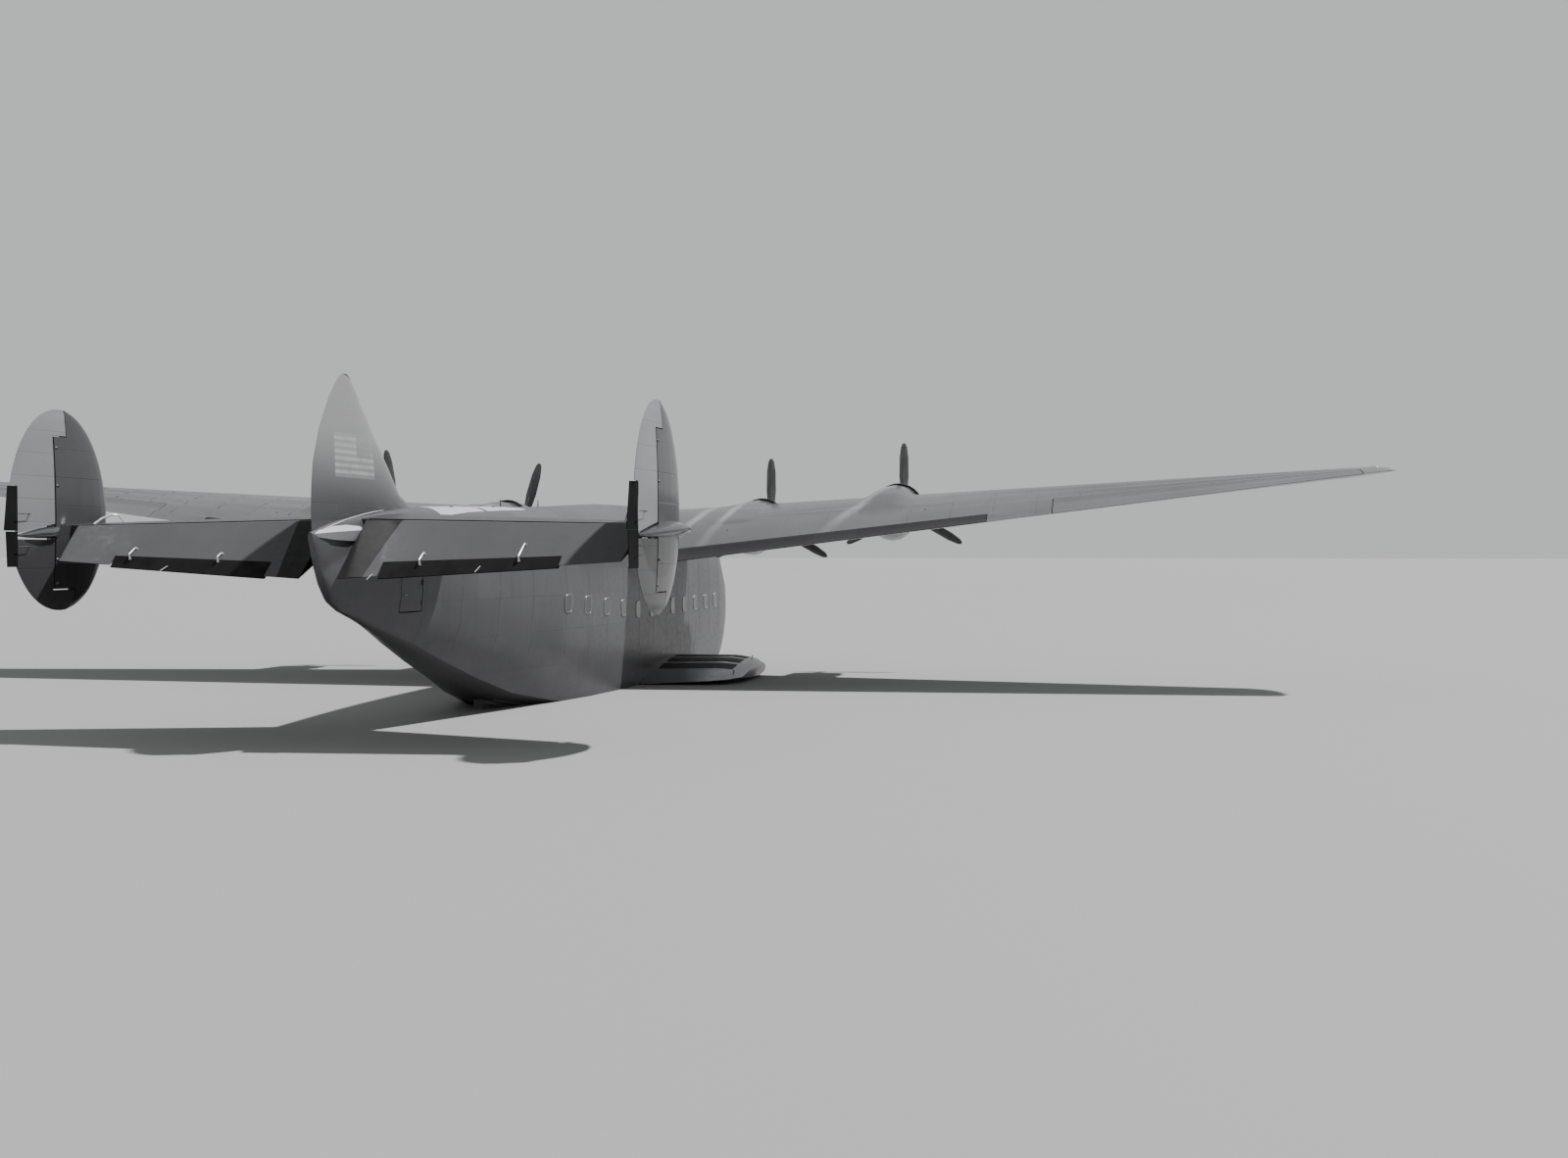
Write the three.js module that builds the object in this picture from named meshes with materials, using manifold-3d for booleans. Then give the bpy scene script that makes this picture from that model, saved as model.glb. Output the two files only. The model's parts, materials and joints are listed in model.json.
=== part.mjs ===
// A four-engined, high-wing passenger flying boat with a triple tail, as a 1:2 scale model.
// Tables and places are full-size metres: side (port is positive), station (aft of the nose)
// and height (above the water). place() turns them into the model's millimetres.
import * as THREE from 'three';
import { mergeVertices } from 'three/addons/utils/BufferGeometryUtils.js';
import Module from 'manifold-3d';

const wasm = await Module();
wasm.setup();

// Scale and clearances.
const MM_PER_METRE = 500;
const ORIGIN_STATION = 15.2;
const SEAT_GAP = 0.3;
const RUN_GAP = 12;
const PORT = 1;
const STARBOARD = -1;

// Driving dimensions, full-size metres.
const LENGTH = 32.33;
const HALF_SPAN = 23.18;
const MAIN_STEP = 15.2;
const REAR_STEP = 23.3;
const PROPELLER_RADIUS = 2.18;
const COWL_RADIUS = 0.76;
const FIN_SIDE = 6.54;
const STABILISER_HEIGHT = 4.35;
const ELEVATOR_HINGE = 30.43;
const ELEVATOR_DROOP_DEG = 30;
const RUDDER_HINGE = 30.98;

const mm = (metres) => metres * MM_PER_METRE;
const metres = (millimetres) => millimetres / MM_PER_METRE;
const place = (side, station, height) => (
  new THREE.Vector3(mm(side), mm(station - ORIGIN_STATION), mm(height))
);
const radians = (degrees) => THREE.MathUtils.degToRad(degrees);
const blend = THREE.MathUtils.lerp;

// Finishes, read as greys from a monochrome photograph.
const FINISHES = {
  silver: { color: 0xb4b7ba, roughness: 0.42, metalness: 0.55 },
  silverShade: { color: 0x9a9ea2, roughness: 0.45, metalness: 0.5 },
  fabric: { color: 0xa6a9ab, roughness: 0.6, metalness: 0.2 },
  tab: { color: 0x6b6e70, roughness: 0.6, metalness: 0.2 },
  bottom: { color: 0x3d4144, roughness: 0.55, metalness: 0.1 },
  cowl: { color: 0xa0a3a6, roughness: 0.35, metalness: 0.6 },
  engine: { color: 0x4a4b4c, roughness: 0.5, metalness: 0.7 },
  blade: { color: 0x55585a, roughness: 0.45, metalness: 0.5 },
  glass: { color: 0x14181b, roughness: 0.08, metalness: 0 },
  steel: { color: 0x6f7376, roughness: 0.4, metalness: 0.8 },
};

const aircraft = new THREE.Group();

function signedVolume(positions, index) {
  const [a, b, c] = [new THREE.Vector3(), new THREE.Vector3(), new THREE.Vector3()];
  let sum = 0;
  for (let i = 0; i < index.length; i += 3) {
    a.fromArray(positions, index[i] * 3);
    b.fromArray(positions, index[i + 1] * 3);
    c.fromArray(positions, index[i + 2] * 3);
    sum += a.dot(b.clone().cross(c)) / 6;
  }
  return sum;
}

// Flat cap over one ring, wound with the ring or against it.
function capFaces(ring, first, withRing) {
  const normal = new THREE.Vector3();
  ring.forEach((point, i) => {
    normal.add(point.clone().cross(ring[(i + 1) % ring.length]));
  });
  const drop = ['x', 'y', 'z'].sort((p, q) => Math.abs(normal[q]) - Math.abs(normal[p]))[0];
  const kept = ['x', 'y', 'z'].filter((axis) => axis !== drop);
  const flat = ring.map((point) => new THREE.Vector2(point[kept[0]], point[kept[1]]));
  const turn = Math.sign(THREE.ShapeUtils.area(flat)) * (withRing ? 1 : -1);
  const faces = [];
  for (const [a, b, c] of THREE.ShapeUtils.triangulateShape(flat, [])) {
    const area = THREE.ShapeUtils.area([flat[a], flat[b], flat[c]]);
    const face = area * turn > 0 ? [a, b, c] : [a, c, b];
    faces.push(...face.map((i) => i + first));
  }
  return faces;
}

// Closed solid through rings that all have the same number of points.
function loft(rings) {
  const count = rings[0].length;
  const index = [...capFaces(rings[0], 0, false)];
  for (let r = 0; r + 1 < rings.length; r += 1) {
    for (let i = 0; i < count; i += 1) {
      const a = r * count + i;
      const b = r * count + ((i + 1) % count);
      index.push(a, b, b + count, a, b + count, a + count);
    }
  }
  index.push(...capFaces(rings.at(-1), (rings.length - 1) * count, true));
  const geometry = new THREE.BufferGeometry().setFromPoints(rings.flat());
  geometry.setIndex(index);
  return solid(geometry);
}

// A closed three.js geometry as a solid that can be cut and joined.
function solid(geometry) {
  const bare = geometry.clone();
  bare.deleteAttribute('normal');
  bare.deleteAttribute('uv');
  const merged = mergeVertices(bare, 1e-3);
  const positions = merged.attributes.position.array;
  let faces = [];
  for (let i = 0; i < merged.index.count; i += 3) {
    const [a, b, c] = [0, 1, 2].map((k) => merged.index.getX(i + k));
    if (a !== b && b !== c && c !== a) {
      faces.push(a, b, c);
    }
  }
  if (signedVolume(positions, faces) < 0) {
    faces = faces.map((_, i) => faces[i - (i % 3) + 2 - (i % 3)]);
  }
  return new wasm.Manifold(new wasm.Mesh({
    numProp: 3,
    vertProperties: new Float32Array(positions),
    triVerts: new Uint32Array(faces),
  }));
}

function geometryOf(body) {
  const { numProp, vertProperties, triVerts } = body.getMesh();
  const points = [];
  for (let i = 0; i < vertProperties.length; i += numProp) {
    points.push(new THREE.Vector3(vertProperties[i], vertProperties[i + 1], vertProperties[i + 2]));
  }
  const geometry = new THREE.BufferGeometry().setFromPoints(points);
  geometry.setIndex([...triVerts]);
  geometry.computeVertexNormals();
  return geometry;
}

const union = (bodies) => bodies.reduce((whole, body) => whole.add(body));

function addPart(name, body, finish, parent = aircraft) {
  const mesh = new THREE.Mesh(geometryOf(body), new THREE.MeshStandardMaterial(FINISHES[finish]));
  mesh.name = name;
  parent.add(mesh);
}

// Box between two corners given as side, station and height.
function block(low, high) {
  const a = place(...low);
  const b = place(...high);
  const size = b.clone().sub(a);
  const box = new THREE.BoxGeometry(Math.abs(size.x), Math.abs(size.y), Math.abs(size.z));
  box.translate((a.x + b.x) / 2, (a.y + b.y) / 2, (a.z + b.z) / 2);
  return solid(box);
}

// Prism over a plan outline of [side, station], between two heights.
function planPrism(outline, low, high) {
  return loft([low, high].map((height) => outline.map(([side, station]) => place(side, station, height))));
}

// Prism over a side-view outline of [station, height], between two sides.
function sidePrism(outline, inner, outer) {
  return loft([inner, outer].map((side) => outline.map(([station, height]) => place(side, station, height))));
}

// Round spindle along a line: each row is a centre and a radius in millimetres.
function spindle(rows, axis, segments = 24) {
  const rings = rows.map(({ centre, radius }) => {
    const ring = [];
    for (let i = 0; i < segments; i += 1) {
      const angle = (i / segments) * 2 * Math.PI;
      const [c, s] = [radius * Math.cos(angle), radius * Math.sin(angle)];
      const offset = axis === 'x' ? new THREE.Vector3(0, c, s) : new THREE.Vector3(c, s, 0);
      ring.push(centre.clone().add(offset));
    }
    return ring;
  });
  return loft(rings);
}

// Foil section: chord fractions from the upper trailing edge round the nose and back.
const FOIL_STEPS = [1, 0.9, 0.75, 0.6, 0.45, 0.3, 0.18, 0.09, 0.035, 0.008];
const TRAILING_HALF = 0.006;

function foilHalf(u, ratio) {
  const shape = 0.2969 * Math.sqrt(u) - 0.126 * u - 0.3516 * u ** 2 + 0.2843 * u ** 3 - 0.1036 * u ** 4;
  return 5 * ratio * shape;
}

const camberLine = (u, camber) => 4 * camber * u * (1 - u);

// Points [u, w] in chord fractions; w is measured across the chord.
function foil(chord, ratio, camber = 0) {
  const edge = TRAILING_HALF / chord;
  const skin = (u, way) => [u, camberLine(u, camber) + way * (foilHalf(u, ratio) + edge * u)];
  const upper = FOIL_STEPS.map((u) => skin(u, 1));
  const lower = [...FOIL_STEPS].reverse().map((u) => skin(u, -1));
  return [...upper, [0, 0], ...lower];
}

// Hull sections above the chine. Columns: station, bottom height, bottom half-breadth,
// wall half-breadth, height of the wall's widest point, crown height.
const HULL_SECTIONS = [
  [0.0, 1.55, 0.1, 0.3, 1.95, 2.35],
  [0.15, 1.42, 0.3, 0.58, 1.95, 2.72],
  [0.5, 1.3, 0.6, 0.92, 1.95, 3.1],
  [1.1, 1.1, 0.92, 1.25, 1.95, 3.48],
  [1.8, 0.85, 1.18, 1.5, 2.0, 3.8],
  [2.6, 0.55, 1.42, 1.68, 2.1, 4.08],
  [3.5, 0.25, 1.62, 1.8, 2.3, 4.92],
  [4.6, 0.0, 1.78, 1.88, 2.5, 5.1],
  [6.2, -0.28, 1.87, 1.905, 2.7, 5.22],
  [8.4, -0.5, 1.9, 1.905, 2.8, 5.33],
  [11.0, -0.62, 1.9, 1.905, 2.8, 5.38],
  [13.6, -0.67, 1.9, 1.905, 2.8, 5.34],
  [MAIN_STEP, -0.68, 1.88, 1.9, 2.8, 5.28],
  [17.2, -0.6, 1.72, 1.88, 2.8, 5.2],
  [19.2, -0.42, 1.42, 1.82, 2.85, 5.12],
  [21.3, -0.12, 0.95, 1.68, 2.9, 5.06],
  [REAR_STEP, 0.24, 0.4, 1.48, 2.95, 5.02],
  [25.0, 0.75, 0.14, 1.24, 3.05, 4.98],
  [26.7, 1.28, 0.12, 0.97, 3.25, 4.93],
  [28.2, 1.78, 0.1, 0.71, 3.5, 4.88],
  [29.5, 2.24, 0.08, 0.48, 3.75, 4.8],
  [30.4, 2.52, 0.07, 0.31, 3.95, 4.7],
  [31.1, 2.71, 0.06, 0.22, 4.05, 4.6],
  [31.55, 2.9, 0.05, 0.17, 4.1, 4.5],
  [31.85, 3.2, 0.045, 0.14, 4.15, 4.43],
  [32.1, 3.62, 0.04, 0.1, 4.18, 4.36],
  [LENGTH, 4.1, 0.02, 0.05, 4.2, 4.29],
];
const HULL_COLUMNS = ['station', 'bottom', 'bottomHalf', 'wallHalf', 'wall', 'crown'];
const LOWER_STEPS = 4;
const UPPER_STEPS = 7;
const LOWER_POWER = 0.85;
const UPPER_POWER = 0.78;

const asRow = (values, columns) => Object.fromEntries(columns.map((column, i) => [column, values[i]]));

// One side of a hull section, from the bottom corner up to the crown.
function hullSide(row, grow) {
  const points = [];
  const wallHalf = row.wallHalf + grow;
  for (let i = 0; i <= LOWER_STEPS; i += 1) {
    const angle = (i / LOWER_STEPS) * (Math.PI / 2);
    const out = Math.sin(angle) ** LOWER_POWER;
    const up = 1 - Math.cos(angle) ** LOWER_POWER;
    points.push([blend(row.bottomHalf + grow, wallHalf, out), blend(row.bottom - grow, row.wall, up)]);
  }
  for (let i = 1; i <= UPPER_STEPS; i += 1) {
    const angle = (i / UPPER_STEPS) * (Math.PI / 2);
    const out = i === UPPER_STEPS ? 0 : Math.cos(angle) ** UPPER_POWER;
    points.push([wallHalf * out, blend(row.wall, row.crown + grow, Math.sin(angle) ** UPPER_POWER)]);
  }
  return points;
}

function hullShape(grow = 0) {
  const rings = HULL_SECTIONS.map((values) => {
    const row = asRow(values, HULL_COLUMNS);
    const half = hullSide(row, grow);
    const starboard = half.slice(0, -1).reverse();
    return [
      ...half.map(([side, height]) => place(side, row.station, height)),
      ...starboard.map(([side, height]) => place(-side, row.station, height)),
    ];
  });
  return loft(rings);
}

// Planing bottoms. Columns: station, keel height, chine half-breadth, top height.
const FORE_BOTTOM = [
  [0.15, 1.28, 0.26, 1.42],
  [0.5, 0.92, 0.5, 1.3],
  [1.1, 0.4, 0.86, 1.1],
  [1.8, -0.08, 1.14, 0.85],
  [2.6, -0.5, 1.4, 0.55],
  [3.5, -0.82, 1.6, 0.25],
  [4.6, -1.06, 1.77, 0.0],
  [6.2, -1.25, 1.87, -0.28],
  [8.4, -1.36, 1.9, -0.5],
  [11.0, -1.42, 1.9, -0.62],
  [13.6, -1.45, 1.9, -0.67],
  [MAIN_STEP, -1.46, 1.88, -0.68],
];
const AFT_BOTTOM = [
  [MAIN_STEP, -1.24, 1.8, -0.68],
  [17.2, -1.08, 1.62, -0.6],
  [19.2, -0.9, 1.3, -0.42],
  [21.3, -0.7, 0.82, -0.12],
  [REAR_STEP, -0.5, 0.12, 0.24],
];
const BOTTOM_COLUMNS = ['station', 'keel', 'chineHalf', 'top'];
const CHINE_DROP = 0.09;
const KEEL_HALF = 0.06;

function bottomShape(table, aftGap) {
  return loft(table.map((values) => {
    const row = asRow(values, BOTTOM_COLUMNS);
    const top = row.top - metres(SEAT_GAP);
    const station = row.station + aftGap;
    const half = [
      [row.chineHalf, top],
      [row.chineHalf, top - CHINE_DROP],
      [row.chineHalf * 0.5, blend(top - CHINE_DROP, row.keel, 0.56)],
      [KEEL_HALF, row.keel],
    ];
    const starboard = [...half].reverse();
    return [
      ...half.map(([side, height]) => place(side, station, height)),
      ...starboard.map(([side, height]) => place(-side, station, height)),
    ];
  }));
}

// Flight-deck glazing: the band of the crown that slopes up to the roof.
const GLAZING = { front: 2.62, back: 4.3, sill: 3.95, roofStation: 3.48 };
const GLAZING_PROFILE = [
  [GLAZING.front, GLAZING.sill],
  [GLAZING.back, GLAZING.sill + 0.2],
  [GLAZING.back, GLAZING.sill + 0.72],
  [GLAZING.roofStation, GLAZING.sill + 0.82],
  [GLAZING.front, 5.6],
];

// Core that the panes close on, in side view.
const GLAZING_CORE = { outline: [[3.05, 3.3], [5.4, 3.3], [5.4, 4.6], [3.9, 4.6]], half: 1.2 };

function glazingRegion(grow) {
  const outline = GLAZING_PROFILE.map(([station, height]) => {
    const spreadStation = station + (station === GLAZING.back ? grow : -grow);
    const spreadHeight = height + (height < GLAZING.sill + 0.3 ? -grow : grow);
    return [spreadStation, spreadHeight];
  });
  return sidePrism(outline, -2.2, 2.2);
}

// Doors: each is a piece of the hull's skin, hinged along its forward edge.
const DOOR_THICKNESS = 0.12;
const CABIN_DOOR = { forward: 12.1, aft: 13.0, sill: 0.75, head: 2.6, outer: 1.905 };
const AFT_HATCH = { forward: 28.35, aft: 29.15, sill: 2.62, head: 3.42 };

function cabinDoorRegion(grow) {
  return block(
    [CABIN_DOOR.outer - DOOR_THICKNESS - grow, CABIN_DOOR.forward - grow, CABIN_DOOR.sill - grow],
    [CABIN_DOOR.outer + 0.2, CABIN_DOOR.aft + grow, CABIN_DOOR.head + grow],
  );
}

// Half-breadth of the hull at a station and height, by halving on its section.
function hullHalfAt(station, height) {
  const rows = HULL_SECTIONS.map((values) => asRow(values, HULL_COLUMNS));
  const after = rows.findIndex((row) => row.station >= station);
  const [a, b] = [rows[after - 1], rows[after]];
  const t = (station - a.station) / (b.station - a.station);
  const row = Object.fromEntries(HULL_COLUMNS.map((column) => [column, blend(a[column], b[column], t)]));
  const side = hullSide(row, 0);
  const i = side.findIndex(([, level]) => level >= height);
  const [[lowHalf, low], [highHalf, high]] = [side[i - 1], side[i]];
  return blend(lowHalf, highHalf, (height - low) / (high - low));
}

// The aft hatch lies in the starboard wall's own plane; its corners are read off the hull.
function aftHatchFrame() {
  const middle = (AFT_HATCH.sill + AFT_HATCH.head) / 2;
  const corner = (station, height) => place(-hullHalfAt(station, height), station, height);
  const origin = corner(AFT_HATCH.forward, middle);
  const aftward = corner(AFT_HATCH.aft, middle).sub(origin).normalize();
  const upward = corner(AFT_HATCH.forward, AFT_HATCH.head).sub(corner(AFT_HATCH.forward, AFT_HATCH.sill));
  const outward = upward.clone().cross(aftward).normalize();
  upward.copy(aftward.clone().cross(outward)).normalize();
  return { origin, aftward, upward, outward };
}

function aftHatchRegion(grow) {
  const { origin, aftward, upward, outward } = aftHatchFrame();
  const length = mm(AFT_HATCH.aft - AFT_HATCH.forward) + 2 * grow;
  const height = mm(AFT_HATCH.head - AFT_HATCH.sill) + 2 * grow;
  const depth = mm(DOOR_THICKNESS) + grow + 60;
  const box = new THREE.BoxGeometry(length, height, depth);
  box.translate(length / 2 - grow, 0, -depth / 2 + 60);
  box.applyMatrix4(new THREE.Matrix4().makeBasis(aftward, upward, outward));
  box.translate(origin.x, origin.y, origin.z);
  return solid(box);
}

// Hinge knuckles along a door's forward edge, on an axis just proud of the skin.
const KNUCKLE = { half: 30, segments: 16, proud: 5 };
const DOOR_KNUCKLES = { radius: 12.8, spread: 300 };
const HATCH_KNUCKLES = { radius: RUN_GAP - SEAT_GAP, spread: 110 };

function knuckles(centre, upward, { radius, spread }) {
  return union([-spread, spread].map((offset) => {
    const barrel = new THREE.CylinderGeometry(radius, radius, KNUCKLE.half * 2, KNUCKLE.segments);
    barrel.applyQuaternion(new THREE.Quaternion().setFromUnitVectors(new THREE.Vector3(0, 1, 0), upward));
    const at = centre.clone().addScaledVector(upward, offset);
    barrel.translate(at.x, at.y, at.z);
    return solid(barrel);
  }));
}

function cabinDoorKnuckles() {
  const middle = (CABIN_DOOR.sill + CABIN_DOOR.head) / 2;
  const centre = place(CABIN_DOOR.outer + metres(KNUCKLE.proud), CABIN_DOOR.forward, middle);
  return knuckles(centre, new THREE.Vector3(0, 0, 1), DOOR_KNUCKLES);
}

function aftHatchKnuckles() {
  const { origin, upward, outward } = aftHatchFrame();
  return knuckles(origin.clone().addScaledVector(outward, KNUCKLE.proud), upward, HATCH_KNUCKLES);
}

function buildHull() {
  const whole = hullShape();
  const gap = metres(SEAT_GAP);
  const hull = whole
    .subtract(glazingRegion(gap))
    .subtract(cabinDoorRegion(metres(RUN_GAP)))
    .subtract(aftHatchRegion(RUN_GAP))
    .subtract(stabiliserShape(gap));
  const glazingCore = sidePrism(GLAZING_CORE.outline, -GLAZING_CORE.half, GLAZING_CORE.half);
  addPart('hull', hull.add(glazingCore.intersect(whole).subtract(glazingRegion(gap))), 'silver');
  addPart('flight_deck_glazing', whole.intersect(glazingRegion(0)), 'glass');
  addPart('cabin_door', whole.intersect(cabinDoorRegion(0)).add(cabinDoorKnuckles()), 'silverShade');
  addPart('aft_hatch', whole.intersect(aftHatchRegion(0)).add(aftHatchKnuckles()), 'silverShade');
  addPart('planing_bottom_forward', bottomShape(FORE_BOTTOM, 0), 'bottom');
  addPart('planing_bottom_aft', bottomShape(AFT_BOTTOM, gap), 'bottom');
}

// Sponsons: stub wings at the waterline. Columns: side, leading and trailing station,
// trailing height, rise to the leading edge, thickness ratio.
const SPONSON_SECTIONS = [
  [1.7, 9.6, 15.3, 0.02, 0.2, 0.165],
  [3.9, 9.9, 15.1, 0.12, 0.17, 0.155],
  [4.5, 10.2, 14.85, 0.16, 0.14, 0.13],
  [4.8, 10.8, 14.3, 0.2, 0.08, 0.1],
];
const SPAN_COLUMNS = ['side', 'lead', 'trail', 'trailHeight', 'rise', 'ratio', 'camber'];

function spanRing(row, side) {
  const chord = row.trail - row.lead;
  return foil(chord, row.ratio, row.camber ?? 0).map(([u, w]) => place(
    side * row.side,
    row.lead + u * chord,
    row.trailHeight + (1 - u) * row.rise + w * chord,
  ));
}

const spanLoft = (table, side) => loft(table.map((values) => spanRing(asRow(values, SPAN_COLUMNS), side)));

// Wing sections, with the camber ratio as one more column. The last rows round the tip.
const WING_SECTIONS = [
  [0.1, 8.67, 16.42, 3.23, 1.22, 0.215, 0.03],
  [2.0, 8.95, 16.27, 3.47, 1.12, 0.215, 0.03],
  [22.3, 11.9, 14.53, 6.05, 0.1, 0.1, 0.02],
  [22.75, 12.2, 14.5, 6.1, 0.09, 0.095, 0.02],
  [23.03, 12.65, 14.38, 6.13, 0.07, 0.085, 0.01],
  [HALF_SPAN, 13.35, 14.05, 6.15, 0.03, 0.07, 0],
];
const WING_JOINT = 13.0;
// A box that holds the whole wing, for splitting it at the joint.
const WING_ROOM = { forward: 6, aft: 18, low: 2, high: 8, outer: 25 };

// Hinge point midway between the skins, and the section's half thickness there.
function wingHinge(side, fraction) {
  const [root, tip] = [1, 2].map((i) => asRow(WING_SECTIONS[i], SPAN_COLUMNS));
  const t = (side - root.side) / (tip.side - root.side);
  const [near, far] = [root, tip].map((row) => {
    const chord = row.trail - row.lead;
    return {
      station: row.lead + fraction * chord,
      height: row.trailHeight + (1 - fraction) * row.rise + camberLine(fraction, row.camber) * chord,
      half: foilHalf(fraction, row.ratio) * chord + TRAILING_HALF * fraction,
    };
  });
  return {
    side,
    station: blend(near.station, far.station, t),
    height: blend(near.height, far.height, t),
    half: blend(near.half, far.half, t),
  };
}

// Flaps and ailerons: inner and outer side, and the hinge's chord fraction, one of FOIL_STEPS.
const FLAP = { inner: 2.2, outer: 12.0, hinge: 0.9 };
const AILERON = { inner: 13.85, outer: 22.25, hinge: 0.75 };
const HINGE_SINK = 0.97;
const PIN_RADIUS = 8;
const PIN_TIP_RADIUS = 1.5;
const PIN_TAPER = 4;
const NOSE_STEPS = [0, 0.25, 0.5, 0.75, 1];

// Region aft of a hinge line, and the round nose about it; both grow by millimetres.
function surfaceRegion(control, side, grow) {
  const spread = metres(grow);
  const ends = [control.inner - spread, control.outer + spread].map((end) => wingHinge(end, control.hinge));
  const outline = [
    [side * ends[0].side, ends[0].station],
    [side * ends[1].side, ends[1].station],
    [side * ends[1].side, 17.5],
    [side * ends[0].side, 17.5],
  ];
  const nose = spindle(ends.map((end) => ({
    centre: place(side * end.side, end.station, end.height),
    radius: mm(end.half) * HINGE_SINK + grow,
  })), 'x');
  return { aft: planPrism(outline, 2.5, 7.5), nose };
}

// Nacelles: inner and outer engine, with the propeller's plane and the thrust line's height.
const ENGINES = [
  { place: 'inner', side: 4.35, station: 7.55, height: 4.82 },
  { place: 'outer', side: 8.85, station: 7.95, height: 5.26 },
];

// The cowl's aft edge, aft of the propeller, and the nacelle's front seated on it.
const COWL_AFT = 1.6;
const NACELLE_FRONT = COWL_AFT + metres(SEAT_GAP);

// Nacelle sections. Columns: distance aft of the propeller, half-breadth, top, bottom.
const NACELLE_SECTIONS = [
  [NACELLE_FRONT, 0.7, 0.7, -0.71],
  [2.2, 0.73, 0.73, -0.92],
  [3.0, 0.7, 0.69, -1.03],
  [3.9, 0.6, 0.55, -1.0],
  [4.8, 0.44, 0.32, -0.86],
  [5.5, 0.24, 0.02, -0.62],
  [5.8, 0.1, -0.2, -0.45],
];
const NACELLE_COLUMNS = ['aft', 'half', 'top', 'bottom'];
const NACELLE_POINTS = 20;

function nacelleShape(engine, side, grow = 0) {
  const last = NACELLE_SECTIONS.length - 1;
  return loft(NACELLE_SECTIONS.map((values, i) => {
    const row = asRow(values, NACELLE_COLUMNS);
    const lengthen = { 0: -grow, [last]: grow }[i] ?? 0;
    const middle = engine.height + (row.top + row.bottom) / 2;
    const reach = (row.top - row.bottom) / 2 + grow;
    const ring = [];
    for (let k = 0; k < NACELLE_POINTS; k += 1) {
      const angle = (k / NACELLE_POINTS) * 2 * Math.PI;
      ring.push(place(
        side * engine.side + (row.half + grow) * Math.cos(angle),
        engine.station + row.aft + lengthen,
        middle + reach * Math.sin(angle),
      ));
    }
    return ring;
  }));
}

// Hinge pins reach from a surface's ends to the fixed ribs beside it. The hinge line slopes,
// so each pin tapers to a point that can turn next to its rib.
function surfacePins(control, side) {
  const reach = metres(RUN_GAP - SEAT_GAP);
  const shoulder = reach - metres(PIN_TAPER);
  const rows = [
    [control.inner - reach, PIN_TIP_RADIUS],
    [control.inner - shoulder, PIN_RADIUS],
    [control.outer + shoulder, PIN_RADIUS],
    [control.outer + reach, PIN_TIP_RADIUS],
  ];
  return spindle(rows.map(([end, radius]) => {
    const hinge = wingHinge(end, control.hinge);
    return { centre: place(side * end, hinge.station, hinge.height), radius };
  }), 'x', 12);
}

function buildWing(side, label) {
  const whole = spanLoft(WING_SECTIONS, side);
  const panelRegion = (inner, outer) => block(
    [side * inner, WING_ROOM.forward, WING_ROOM.low],
    [side * outer, WING_ROOM.aft, WING_ROOM.high],
  );
  const inboard = panelRegion(0, WING_JOINT);
  const outboard = panelRegion(WING_JOINT + metres(SEAT_GAP), WING_ROOM.outer);
  const gap = metres(SEAT_GAP);
  const nacelles = union(ENGINES.map((engine) => nacelleShape(engine, side, gap)));
  for (const [name, control, panel, finish] of [
    ['flap', FLAP, inboard, 'fabric'],
    ['aileron', AILERON, outboard, 'fabric'],
  ]) {
    const room = surfaceRegion(control, side, RUN_GAP);
    const body = surfaceRegion(control, side, 0);
    const base = whole.intersect(panel);
    const fixed = base.subtract(room.aft).subtract(room.nose);
    const moving = base.intersect(body.aft).add(body.nose).add(surfacePins(control, side));
    if (name === 'flap') {
      addPart(`wing_inner_${label}`, fixed.subtract(hullShape(gap)).subtract(nacelles), 'silver');
    } else {
      addPart(`wing_outer_${label}`, fixed, 'silver');
    }
    addPart(`${name}_${label}`, moving, finish);
  }
}

function buildSponson(side, label) {
  const sponson = spanLoft(SPONSON_SECTIONS, side).subtract(hullShape(metres(SEAT_GAP)));
  addPart(`sponson_${label}`, sponson, 'silverShade');
}

// Cowl ring as a closed profile turned about the thrust line: [distance aft, radius]. Its aft
// edge forks into the open gills and the seat of the nacelle.
const GILL_AFT = 1.58;
const COWL_PROFILE = [
  [0.52, 0.6],
  [0.45, 0.64],
  [0.52, 0.7],
  [0.72, 0.75],
  [1.0, COWL_RADIUS],
  [1.25, 0.77],
  [GILL_AFT, 0.815],
  [GILL_AFT, 0.8],
  [1.3, 0.735],
  [1.3, 0.72],
  [COWL_AFT, 0.72],
  [COWL_AFT, 0.67],
  [0.72, 0.68],
];
const COWL_SEGMENTS = 28;

// A LatheGeometry turns about +Y, and its radius runs along +X.
function turned(profile, segments) {
  const points = profile.map(([along, radius]) => new THREE.Vector2(mm(radius), mm(along)));
  return new THREE.LatheGeometry(points, segments);
}

function closedTurned(profile, segments) {
  return turned([...profile, profile[0]], segments);
}

function onThrustLine(geometry, engine, side) {
  const centre = place(side * engine.side, engine.station, engine.height);
  geometry.translate(centre.x, centre.y, centre.z);
  return solid(geometry);
}

// Two-row radial engine: crankcase, gear nose, and two rings of seven cylinders.
const CYLINDERS = { perRow: 7, radius: 0.145, inner: 0.24, outer: 0.64 };
const CYLINDER_ROWS = [
  { aft: 0.86, turn: 0 },
  { aft: 1.24, turn: Math.PI / 7 },
];
const SHAFT_SEAT = 0.36;
const CRANKCASE_PROFILE = [
  [SHAFT_SEAT, 0],
  [SHAFT_SEAT, 0.1],
  [0.44, 0.2],
  [0.6, 0.3],
  [0.74, 0.36],
  [1.4, 0.36],
  [COWL_AFT, 0.5],
  [COWL_AFT, 0],
];

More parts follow.
